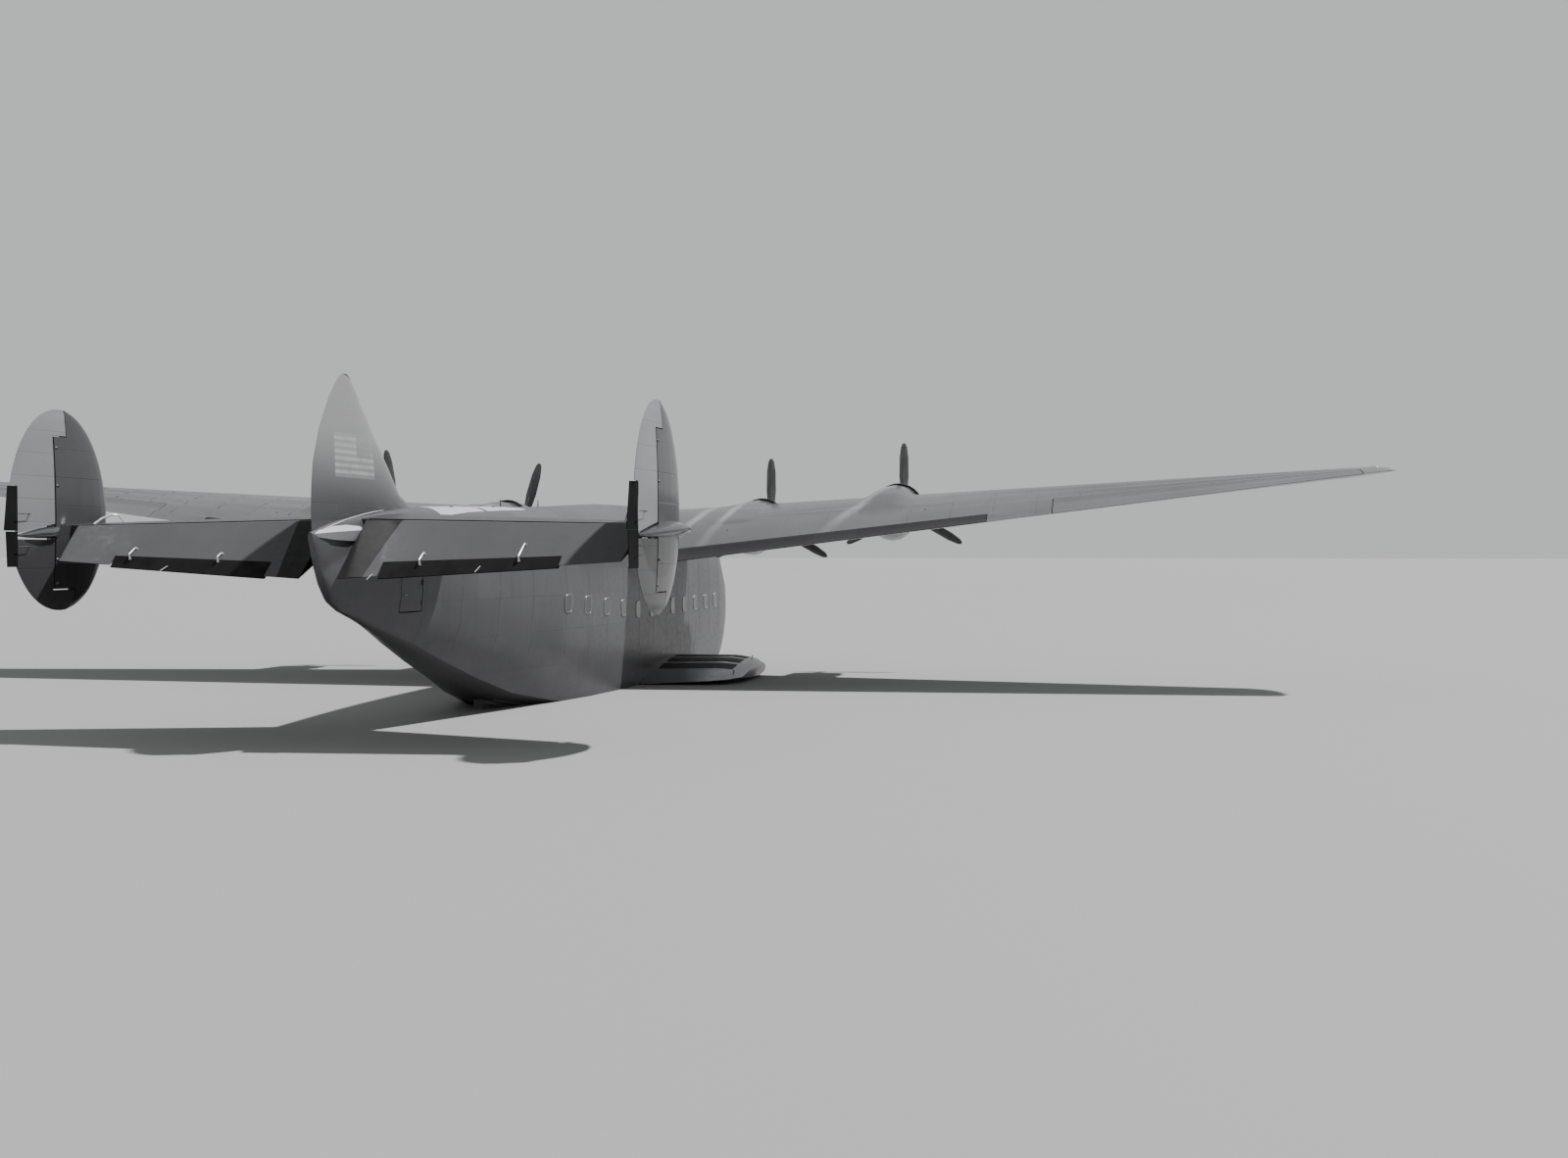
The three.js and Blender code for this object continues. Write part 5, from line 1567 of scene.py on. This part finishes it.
@dataclass
class Engine:
    """One engine with its cowl, nacelle and propeller. Lengths are full size."""

    name: str
    side: Side
    across: float
    station: float
    height: float
    finishes: Finishes
    studs: StudRows
    parked: float = 0.0
    per_row: int = 7
    rows: tuple = ((0.86, 0.0), (1.24, math.pi / 7))
    fin_root: float = 0.37
    fin_tip: float = 0.61
    fin_radius: float = 0.153
    gills: int = 26
    gill_line: tuple = ((0.77, 1.27), (0.795, 1.43), (0.816, 1.575))
    seam_line: tuple = ((0.7, 0.53), (0.75, 0.73), (0.76, 1.0), (0.77, 1.24))
    exhaust_line: tuple = ((0.68, 1.62), (0.75, 1.8), (0.79, 2.05), (0.8, 2.4))
    exhaust_angles: tuple = (-1.1, 1.1)
    seams: tuple = (1.66, 2.2, 3.0, 3.9)
    clamp: Stud = Stud(0.026, 0.05, 0.047, 0.014, 20)
    clamp_line: tuple = ((0.17, 0.02), (0.33, 0.02))
    fairing_start: float = 2.75
    fairing_length: float = 3.6
    fairing_half: float = 0.92
    fairing_rise: float = 0.012

    def build(self) -> None:
        """Makes the engine's pieces."""
        paint = self.finishes
        name = self.name
        skin(f"nacelle_{name}", paint.nacelle, Slot.SILVER, 40.0)
        skin(f"cowl_{name}", paint.cowl, Slot.COWL, 40.0)
        skin(f"engine_{name}", paint.engine, Slot.ENGINE, name=f"engine_{name}_core")
        skin(f"propeller_{name}", paint.blade, Slot.PROPELLER, 40.0, name=f"propeller_{name}_blades")
        self.build_cooling_fins()
        self.build_rods()
        self.build_gill_slots()
        self.build_exhausts()
        self.build_seams()
        self.build_fairing()
        self.build_blade_clamps()

    def way(self, angle: float) -> Vector:
        """The direction away from the thrust line at an angle."""
        return Vector((math.sin(angle), 0.0, math.cos(angle)))

    def spoke(self, angle: float, places: tuple) -> list:
        """Points with outward vectors, from distances off the thrust line and aft, at one angle."""
        return [(self.at(radius, angle, aft), self.way(angle)) for radius, aft in places]

    def cylinder_angles(self) -> list:
        """Angle and distance aft of every cylinder of both rows."""
        step = 2 * math.pi / self.per_row
        return [(i * step + turn, aft) for aft, turn in self.rows for i in range(self.per_row)]

    def build_cooling_fins(self) -> None:
        """Sets the thin cooling fins round each cylinder by Geometry Nodes."""
        lines = [
            self.spoke(angle, ((self.fin_root, aft), (self.fin_tip, aft)))
            for angle, aft in self.cylinder_angles()
        ]
        radius = self.fin_radius * MODEL_SCALE
        name = f"engine_{self.name}_cooling_fins"
        fin = Stud(0.0125, radius, radius, 0.004, 18)
        self.studs.lay(lines, name, fin, self.finishes.engine, Slot.ENGINE, upward=AFT)

    def build_rods(self) -> None:
        """Adds the pushrod tubes, rocker boxes and ignition ring."""
        work = bmesh.new()
        for angle, aft in self.cylinder_angles():
            for lean in (-0.1, 0.1):
                foot = self.at(0.33, angle + lean * 1.6, aft - 0.13)
                head = self.at(0.6, angle + lean, aft - 0.12)
                tube(work, [foot, head], 0.007, 8)
                box = self.at(0.62, angle + lean, aft - 0.02)
                tube(work, [box - Vector((0, 0.055, 0)), box + Vector((0, 0.03, 0))], [0.016, 0.02], 10)
        ring = [self.at(0.4, 2 * math.pi * i / 36, 0.62) for i in range(37)]
        tube(work, ring, 0.011, 10)
        finish_work(work, f"engine_{self.name}_rods", self.finishes.steel, Slot.ENGINE, angle=50.0)

    def build_gill_slots(self) -> None:
        """Draws the slots between the cowl's gills as dark strips of painted shade, and the seams between its
        panels.
        """
        work = bmesh.new()
        for i in range(self.gills):
            angle = 2 * math.pi * (i + 0.5) / self.gills
            # painted shade: a dark strip stands for the shade inside each slot
            ribbon(work, self.spoke(angle, self.gill_line), 0.007, 0.0012)
        for i in range(3):
            angle = 2 * math.pi * i / 3 + 0.35
            ribbon(work, self.spoke(angle, self.seam_line), 0.006, 0.001)
        finish_work(work, f"cowl_{self.name}_slots", self.finishes.dark, Slot.COWL)

    def build_exhausts(self) -> None:
        """Lays a tail pipe along each upper flank of the nacelle, with a dark disc of painted shade in its
        mouth.
        """
        pipes, mouths = bmesh.new(), bmesh.new()
        for angle in self.exhaust_angles:
            path = [self.at(radius, angle, aft) for radius, aft in self.exhaust_line]
            tube(pipes, path, [0.03, 0.034, 0.034, 0.036], 14)
            # painted shade: a dark disc stands for the shade inside the pipe
            back = Vector((0, 0.001, 0))
            tube(mouths, [path[-1] - back, path[-1] + back], 0.03, 14)
        for work, part, paint in (
            (pipes, "exhausts", self.finishes.exhaust),
            (mouths, "mouths", self.finishes.dark),
        ):
            finish_work(work, f"nacelle_{self.name}_{part}", paint, Slot.ENGINE, angle=50.0)

    def build_seams(self) -> None:
        """Lays straps round the nacelle, where its panels meet, with rivets along them."""
        tracer = Tracer(f"nacelle_{self.name}")
        work = bmesh.new()
        rows = []
        for aft in self.seams:
            run: list = []
            for i in range(49):
                angle = 2 * math.pi * i / 48
                found = tracer.hit(self.at(1.6, angle, aft), -self.way(angle), 0.8)
                near = found is not None and (not run or (found[0] - run[-1][0]).length < 0.16)
                if near:
                    run.append(found)
                if (not near or i == 48) and len(run) > 3:
                    ribbon(work, run, 0.02, 0.001)
                    rows.append([(spot + normal * 0.001, normal) for spot, normal in run])
                if not near:
                    run = []
        finish_work(work, f"nacelle_{self.name}_straps", self.finishes.nacelle)
        rivet = replace(SKIN_RIVET, spacing=0.03)
        self.studs.lay(rows, f"nacelle_{self.name}_rivets", rivet, self.finishes.rivet)

    def build_fairing(self) -> None:
        """Blends the nacelle's back into the wing with a long low hump of sheet."""
        label = self.side.label
        wing = Tracer(f"wing_inner_{label}", f"wing_outer_{label}")
        nacelle = Tracer(f"nacelle_{self.name}")
        rows, columns, thick = 18, 19, 0.008
        middle = self.side.value * self.across
        edges, humps = [], []
        for i in range(rows):
            aft = self.station + self.fairing_start + self.fairing_length * i / (rows - 1)
            ends = [wing.hit(place(middle + way * self.fairing_half, aft, 9.0), DOWN) for way in (-1, 1)]
            if None in ends:
                continue
            top = nacelle.hit(place(middle, aft, 9.0), DOWN)
            level = (ends[0][0].z + ends[1][0].z) / 2
            humps.append(max(0.0, top[0].z - level) if top else 0.0)
            edges.append((ends[0][0], ends[1][0]))
        grid = []
        for i, (left, right) in enumerate(edges):
            near = humps[max(i - 1, 0):i + 2]
            rise = sum(near) / len(near) + self.fairing_rise
            grown = soft_step(i / 6)
            row = []
            for k in range(columns):
                bell = 1.0 - soft_step((abs(2 * k / (columns - 1) - 1) - 0.2) / 0.8)
                spot = left.lerp(right, k / (columns - 1))
                above = Vector((spot.x, spot.y, place(0, 0, 9.0).z))
                hits = [found[0].z for found in (wing.hit(above, DOWN), nacelle.hit(above, DOWN)) if found]
                sunk = max(hits) - 1.5 * thick
                full = spot.z + rise * bell - 0.75 * thick * (1 - bell) - thick
                if i == len(edges) - 1:
                    full = sunk
                row.append((Vector((spot.x, spot.y, sunk + (full - sunk) * grown)), UP))
            grid.append(row)
        work = bmesh.new()
        plate(work, grid, thick)
        finish_work(work, f"nacelle_{self.name}_fairing", self.finishes.wing, angle=50.0)

    def build_blade_clamps(self) -> None:
        """Rings the blade roots with their clamps."""
        angles = [math.radians(self.parked) + 2 * math.pi * i / 3 for i in range(3)]
        lines = [self.spoke(angle, self.clamp_line) for angle in angles]
        node = f"propeller_{self.name}"
        steel = self.finishes.steel
        self.studs.lay(lines, f"{node}_clamps", self.clamp, steel, Slot.PROPELLER, body_of_node(node), AFT)

    def at(self, radius: float, angle: float, aft: float) -> Vector:
        """A place on the thrust line's cylinder; angle 0 is up, in radians towards port."""
        return place(
            self.side.value * self.across + radius * math.sin(angle),
            self.station + aft,
            self.height + radius * math.cos(angle),
        )


# Tail


@dataclass
class Tail:
    """Stabiliser, elevators, fins, rudders and their fittings. Tables are full size."""

    finishes: Finishes
    fin_side: float = 6.54
    hinge_station: float = 30.43
    hinge_height: float = 4.35
    droop: float = math.radians(30.0)
    rod_ends: tuple = ((4.42, 0.84, 1.16), (2.39, 1.06, 1.3), (-1.97, 1.06, 1.38), (-3.97, 0.72, 1.22))
    link_ends: tuple = ((3.48, 1.38, 1.66), (-1.09, 1.72, 1.98), (-3.22, 1.38, 1.68))
    horn_heights: tuple = (4.69, 4.02)
    cap_depth: float = 0.0115
    hinge_heights: tuple = (6.1, 5.3, 3.75, 3.25)
    rib_sides: tuple = tuple(0.75 + 0.55 * i for i in range(10))
    fin_bead: tuple = (
        (0.01, 32.3, 4.24), (0.1, 31.78, 4.4), (0.12, 31.08, 4.55), (0.13, 30.6, 4.63),
        (0.16, 30.14, 4.7), (0.18, 29.75, 4.75), (0.19, 29.33, 4.79),
    )
    rail: tuple = (
        (6.02, 30.2, 0.0), (5.93, 30.06, 0.1), (5.82, 29.92, 0.17), (5.7, 29.8, 0.17), (5.62, 29.7, 0.0),
    )
    root_fairing: tuple = (
        (30.6, 0.36, 4.52, 4.36, 4.14), (31.1, 0.35, 4.5, 4.34, 4.13), (31.7, 0.26, 4.43, 4.31, 4.15),
        (32.1, 0.14, 4.35, 4.28, 4.19), (32.32, 0.03, 4.29, 4.26, 4.23),
    )

    def build(self) -> None:
        """Makes the tail's pieces."""
        paint = self.finishes
        outline = EllipseOutline()
        skin("stabiliser", paint.stabiliser)
        skin("centre_fin", paint.centre_fin)
        for side in Side:
            label = side.label
            # fin paint: painted shade below the stabiliser
            skin(f"fin_{label}", paint.tail, refine=outline)
            skin(f"stabiliser_tip_{label}", paint.tail, Slot.SILVER, 40.0)
            skin(f"elevator_{label}", paint.elevator, Slot.FABRIC)
            skin(f"elevator_tab_{label}", paint.tab, Slot.TAB)
            # the lower rudder halves take the dope darkened as painted shade
            for half, dope in (("upper", paint.rudder), ("lower", paint.rudder_low)):
                name = f"rudder_{half}_{label}"
                skin(name, dope, refine=outline)
                skin(f"rudder_tab_{half}_{label}", paint.tab, Slot.TAB)
            self.build_tab_rods(side)
            self.build_rib_tapes(side)
            self.build_rudder_horns(side)
            self.build_hinge_fittings(side)
            self.build_root_rail(side)
            self.build_fin_bead(side)
            spot = place(side.value * (self.fin_side + 0.12), 28.86, 4.37)
            build_lamp(f"tail_lamp_{label}", spot, (0.018, 0.03, 0.018), Vector((0, 0.06, 0)), paint)
        self.build_root_fairing()
        self.build_fin_cap()

    def on_elevator(self, tracer: Tracer, across: float, aft: float, above: float) -> Vector:
        """A place over the drooped elevator's upper face.

        Args:
            tracer: Casts rays at the elevator and its tab.
            across: Side, port positive.
            aft: Distance aft of the hinge along the elevator.
            above: Height over its skin.

        Returns:
            The point in model metres.
        """
        c, s = math.cos(self.droop), math.sin(self.droop)
        up = Vector((0, s, c))
        middle = place(across, self.hinge_station + aft * c, self.hinge_height - aft * s)
        found = tracer.hit(middle + up * 0.4, -up)
        return (found[0] if found else middle) + up * (above * MODEL_SCALE)

    def build_tab_rods(self, side: Side) -> None:
        """Stands the bright push rods of the elevator tab, and the short links at its edge."""
        label = side.label
        tracer = Tracer(f"elevator_{label}", f"elevator_tab_{label}")
        work = bmesh.new()
        for across, forward, aft in self.rod_ends:
            if across * side.value < 0:
                continue
            foot = self.on_elevator(tracer, across, forward, 0.0)
            head = self.on_elevator(tracer, across, forward + 0.03, 0.05)
            end = self.on_elevator(tracer, across, aft - 0.02, 0.1)
            horn = self.on_elevator(tracer, across, aft, 0.0)
            tube(work, [foot, head], [0.014, 0.009], 10)
            tube(work, [head, head.lerp(end, 0.5), end], [0.006, 0.0095, 0.006], 10)
            tube(work, [end, horn], [0.006, 0.012], 10)
        for across, forward, aft in self.link_ends:
            if across * side.value < 0:
                continue
            ends = [self.on_elevator(tracer, across, spot, 0.012) for spot in (forward, aft)]
            tube(work, ends, 0.0035, 8)
        body = body_of_node(f"elevator_{label}")
        finish_work(work, f"elevator_tab_rods_{label}", self.finishes.bright, Slot.STEEL, body)

    def build_rib_tapes(self, side: Side) -> None:
        """Lays the tapes over the elevator's ribs on its upper and lower faces."""
        label = side.label
        tracer = Tracer(f"elevator_{label}")
        c, s = math.cos(self.droop), math.sin(self.droop)
        up = Vector((0, s, c))
        work = bmesh.new()
        for across in self.rib_sides:
            for way in (1, -1):
                line: list = []
                for i in range(9):
                    aft = 0.12 + i * 0.2
                    station, height = self.hinge_station + aft * c, self.hinge_height - aft * s
                    middle = place(side.value * across, station, height)
                    found = tracer.hit(middle + up * (0.4 * way), up * -way, 0.45)
                    if found is None:
                        break
                    line.append(found)
                if len(line) > 2:
                    ribbon(work, line, 0.018, 0.0008)
        body = body_of_node(f"elevator_{label}")
        finish_work(work, f"elevator_tapes_{label}", self.finishes.elevator, Slot.FABRIC, body)

    def build_rudder_horns(self, side: Side) -> None:
        """Sets the push rods of the rudder tabs on the fins' starboard faces."""
        label = side.label
        for half, height in zip(("upper", "lower"), self.horn_heights):
            tracer = Tracer(f"rudder_{half}_{label}")
            start = place(side.value * self.fin_side - 1.0, 31.76, height)
            found = tracer.hit(start, Vector((1, 0, 0)), 1.0)
            if found is None:
                continue
            skin_spot = found[0]
            post = skin_spot + Vector((-0.035, 0.03, 0))
            hinge = skin_spot + Vector((-0.03, 0.16, 0))
            end = hinge + Vector((0.004, 0.055, 0))
            work = bmesh.new()
            tube(work, [skin_spot + Vector((0.004, 0, 0)), post], [0.009, 0.006], 10)
            tube(work, [post, hinge, end], [0.004, 0.005, 0.004], 10)
            body = body_of_node(f"rudder_{half}_{label}")
            finish_work(work, f"rudder_tab_rod_{half}_{label}", self.finishes.engine, Slot.STEEL, body)

    def build_hinge_fittings(self, side: Side) -> None:
        """Sets the small hinge blisters on both faces of the fin, just ahead of the rudder."""
        label = side.label
        tracer = Tracer(f"fin_{label}")
        work = bmesh.new()
        for height in self.hinge_heights:
            for way in (-1, 1):
                start = place(side.value * self.fin_side, 30.86, height) + Vector((way * 0.5, 0, 0))
                found = tracer.hit(start, Vector((-way, 0, 0)), 0.6)
                if found is None:
                    continue
                blister = bmesh.ops.create_uvsphere(work, u_segments=12, v_segments=8, radius=0.016)["verts"]
                bmesh.ops.scale(work, vec=(0.6, 1.6, 0.9), verts=blister)
                bmesh.ops.translate(work, vec=found[0], verts=blister)
        finish_work(work, f"rudder_hinge_fittings_{label}", self.finishes.engine, Slot.STEEL)

    def build_root_rail(self, side: Side) -> None:
        """Bends the bright curved rail over the stabiliser beside the outer fin."""
        tracer = Tracer("stabiliser")
        path = []
        for across, station, above in self.rail:
            found = tracer.hit(place(side.value * across, station, 8.0), DOWN)
            if found is not None:
                path.append(found[0] + Vector((0, 0, above * MODEL_SCALE - (0.004 if above == 0 else 0.0))))
        if len(path) < 3:
            return
        work = bmesh.new()
        tube(work, path, [0.016, 0.014, 0.012, 0.009, 0.006][:len(path)], 12)
        finish_work(work, f"stabiliser_rail_{side.label}", self.finishes.bright, Slot.STEEL, angle=60.0)

    def build_root_fairing(self) -> None:
        """Closes the tail between the elevators with a flat pointed fairing, whose pale paint is a painted
        highlight.
        """
        rings = []
        for station, half, top, edge, bottom in self.root_fairing:
            outline = [(half * 0.8, bottom), (half, edge), (half * 0.3, top), (0.0, top)]
            outline += [(-side, height) for side, height in outline[2::-1]]
            rings.append([place(side, station, height) for side, height in outline])
        work = bmesh.new()
        loft(work, rings)
        # painted highlight: the pale paint stands for the sun on the fairing's upward faces
        finish_work(work, "tail_root_fairing", self.finishes.panel, angle=30.0)

    def build_fin_cap(self) -> None:
        """Caps the centre fin's tip with a small dark fitting."""
        tracer = Tracer("centre_fin")
        work = bmesh.new()
        found = tracer.trace([place(0.0, 30.5 + 0.07 * i, 9.0) for i in range(6)], DOWN)
        path = [spot - UP * self.cap_depth for spot, _ in found]
        tube(work, path, [0.004, 0.009, 0.011, 0.011, 0.009, 0.005][:len(path)], 10)
        finish_work(work, "centre_fin_cap", self.finishes.engine, Slot.STEEL, angle=60.0)

    def build_fin_bead(self, side: Side) -> None:
        """Runs the bright bead along the foot of the centre fin, down to the tail's end."""
        path = [
            place(side.value * (across + 0.008), station, height) for across, station, height in self.fin_bead
        ]
        work = bmesh.new()
        tube(work, path, [0.003] + [0.006] * (len(path) - 2) + [0.003], 10)
        finish_work(work, f"centre_fin_bead_{side.label}", self.finishes.bright, Slot.STEEL, angle=60.0)


# Small nodes


@dataclass
class Fittings:
    """Sponsons, beaching pads and the mooring bitt. Tables are full size."""

    finishes: Finishes
    strips: tuple = ((10.9, 11.6), (11.9, 12.6), (12.9, 13.6))
    strip_inner: float = 2.05
    strip_length: float = 2.3
    strip_height: float = 0.004
    across_steps: int = 24
    along_steps: int = 12
    cleat_stations: tuple = (11.2, 13.9)
    cleat: Cleat = Cleat(0.035, 0.008, 0.009, 0.06, 0.005, 0.01)

    def build(self) -> None:
        """Makes the pieces."""
        paint = self.finishes
        skin("mooring_bitt", paint.steel, Slot.STEEL, 40.0, name="mooring_bitt_steel")
        for side in Side:
            skin(f"sponson_{side.label}", paint.nacelle, Slot.SILVER, 35.0)
            pad = f"beaching_pad_{side.label}"
            skin(pad, paint.steel, Slot.STEEL, 40.0, name=f"{pad}_steel")
            self.build_walkway(side)

    def build_walkway(self, side: Side) -> None:
        """Lays the dark non-slip strips on the sponson's deck, and two cleats near its tip."""
        tracer = Tracer(f"sponson_{side.label}")
        work = bmesh.new()
        for first, last in self.strips:
            starts = []
            for i in range(self.along_steps + 1):
                station = first + (last - first) * i / self.along_steps
                sides = [
                    self.strip_inner + self.strip_length * k / self.across_steps
                    for k in range(self.across_steps + 1)
                ]
                starts.append([place(side.value * across, station, 3.0) for across in sides])
            grid = cast_grid(tracer, starts, DOWN)
            if len(grid) > 1:
                plate(work, grid, self.strip_height)
        finish_work(work, f"sponson_{side.label}_walkway", self.finishes.flap, Slot.TAB)
        work = bmesh.new()
        for station in self.cleat_stations:
            self.cleat.stand(work, *tracer.hit(place(side.value * 4.45, station, 3.0), DOWN))
        finish_work(work, f"sponson_{side.label}_cleats", self.finishes.steel, Slot.STEEL)


# Studio


@dataclass
class Studio:
    """Plain pale floor at the waterline, soft light, and the photograph's camera."""

    eye: tuple = (-7.594, 23.98, 1.971)
    heading: float = 0.185
    pitch: float = -0.017
    lens: float = 38.88
    floor_half: float = 400.0
    floor_shade: float = 0.2
    sun_from: tuple = (-0.43, -0.2, 0.88)
    sun_strength: float = 9.0
    sun_angle: float = 0.03
    sky_strength: float = 0.7

    def build(self) -> None:
        """Makes the floor, the lights and the camera."""
        self.lay_floor()
        self.hang_lights()
        self.set_camera()

    def lay_floor(self) -> None:
        """Lays one large plane at height 0."""
        half = self.floor_half
        mesh = bpy.data.meshes.new("studio_floor")
        corners = [(-half, -half, 0), (half, -half, 0), (half, half, 0), (-half, half, 0)]
        mesh.from_pydata(corners, [], [(0, 1, 2, 3)])
        floor = bpy.data.objects.new("studio_floor", mesh)
        bpy.context.scene.collection.objects.link(floor)
        graph = MaterialGraph("pale_floor")
        cloud = graph.noise(0.02, 2.0)
        shade = self.floor_shade
        colour = graph.blend(cloud, (shade * 0.98,) * 3, (shade * 1.02,) * 3)
        graph.set(Base_Color=colour, Roughness=0.85)
        mesh.materials.append(graph.material)
        floor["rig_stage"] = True

    def hang_lights(self) -> None:
        """Sets a pale sky and one key light from high on the starboard side."""
        world = bpy.data.worlds.new("studio_sky")
        bpy.context.scene.world = world
        world.use_nodes = True
        background = world.node_tree.nodes["Background"]
        background.inputs[0].default_value = (0.86, 0.87, 0.88, 1.0)
        background.inputs[1].default_value = self.sky_strength
        sun = bpy.data.lights.new("studio_key", "SUN")
        sun.energy = self.sun_strength
        sun.angle = self.sun_angle
        lamp = bpy.data.objects.new("studio_key", sun)
        lamp.rotation_euler = Vector(self.sun_from).to_track_quat("Z", "Y").to_euler()
        bpy.context.scene.collection.objects.link(lamp)

    def set_camera(self) -> None:
        """Places the camera where the photograph was taken from."""
        data = bpy.data.cameras.new("photograph_camera")
        data.lens = self.lens
        data.sensor_width = 36.0
        data.sensor_fit = "HORIZONTAL"
        data.clip_end = 2000.0
        camera = bpy.data.objects.new("photograph_camera", data)
        way = Vector((
            math.sin(self.heading) * math.cos(self.pitch),
            -math.cos(self.heading) * math.cos(self.pitch),
            math.sin(self.pitch),
        ))
        camera.matrix_world = Matrix.Translation(self.eye) @ way.to_track_quat("-Z", "Y").to_matrix().to_4x4()
        bpy.context.scene.collection.objects.link(camera)
        bpy.context.scene.camera = camera


ENGINE_PLACES = {
    "inner": {"across": 4.35, "station": 7.55, "height": 4.82},
    "outer": {"across": 8.85, "station": 7.95, "height": 5.26},
}
PARKED_BLADES = {("inner", Side.PORT): -16.0, ("outer", Side.PORT): 8.5}


def main() -> None:
    """Builds the sub-assemblies in order and reports each one."""
    logging.basicConfig(level=logging.INFO, format="%(message)s")
    finishes = Finishes.mix()
    studs = StudRows()
    assemblies: list = [Hull(finishes, studs), Fittings(finishes), Tail(finishes)]
    for side in Side:
        assemblies.append(Wing(side, finishes, studs))
        for name, sizes in ENGINE_PLACES.items():
            parked = PARKED_BLADES.get((name, side), 0.0)
            label = f"{name}_{side.label}"
            assemblies.append(Engine(label, side, finishes=finishes, studs=studs, parked=parked, **sizes))
    assemblies.append(Studio())
    for assembly in assemblies:
        assembly.build()
        log.info("built %s", type(assembly).__name__)
    boxes = [[list(map(float, corner)) for corner in box] for box in (cad_bounds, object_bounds())]


if __name__ == "__main__":
    main()
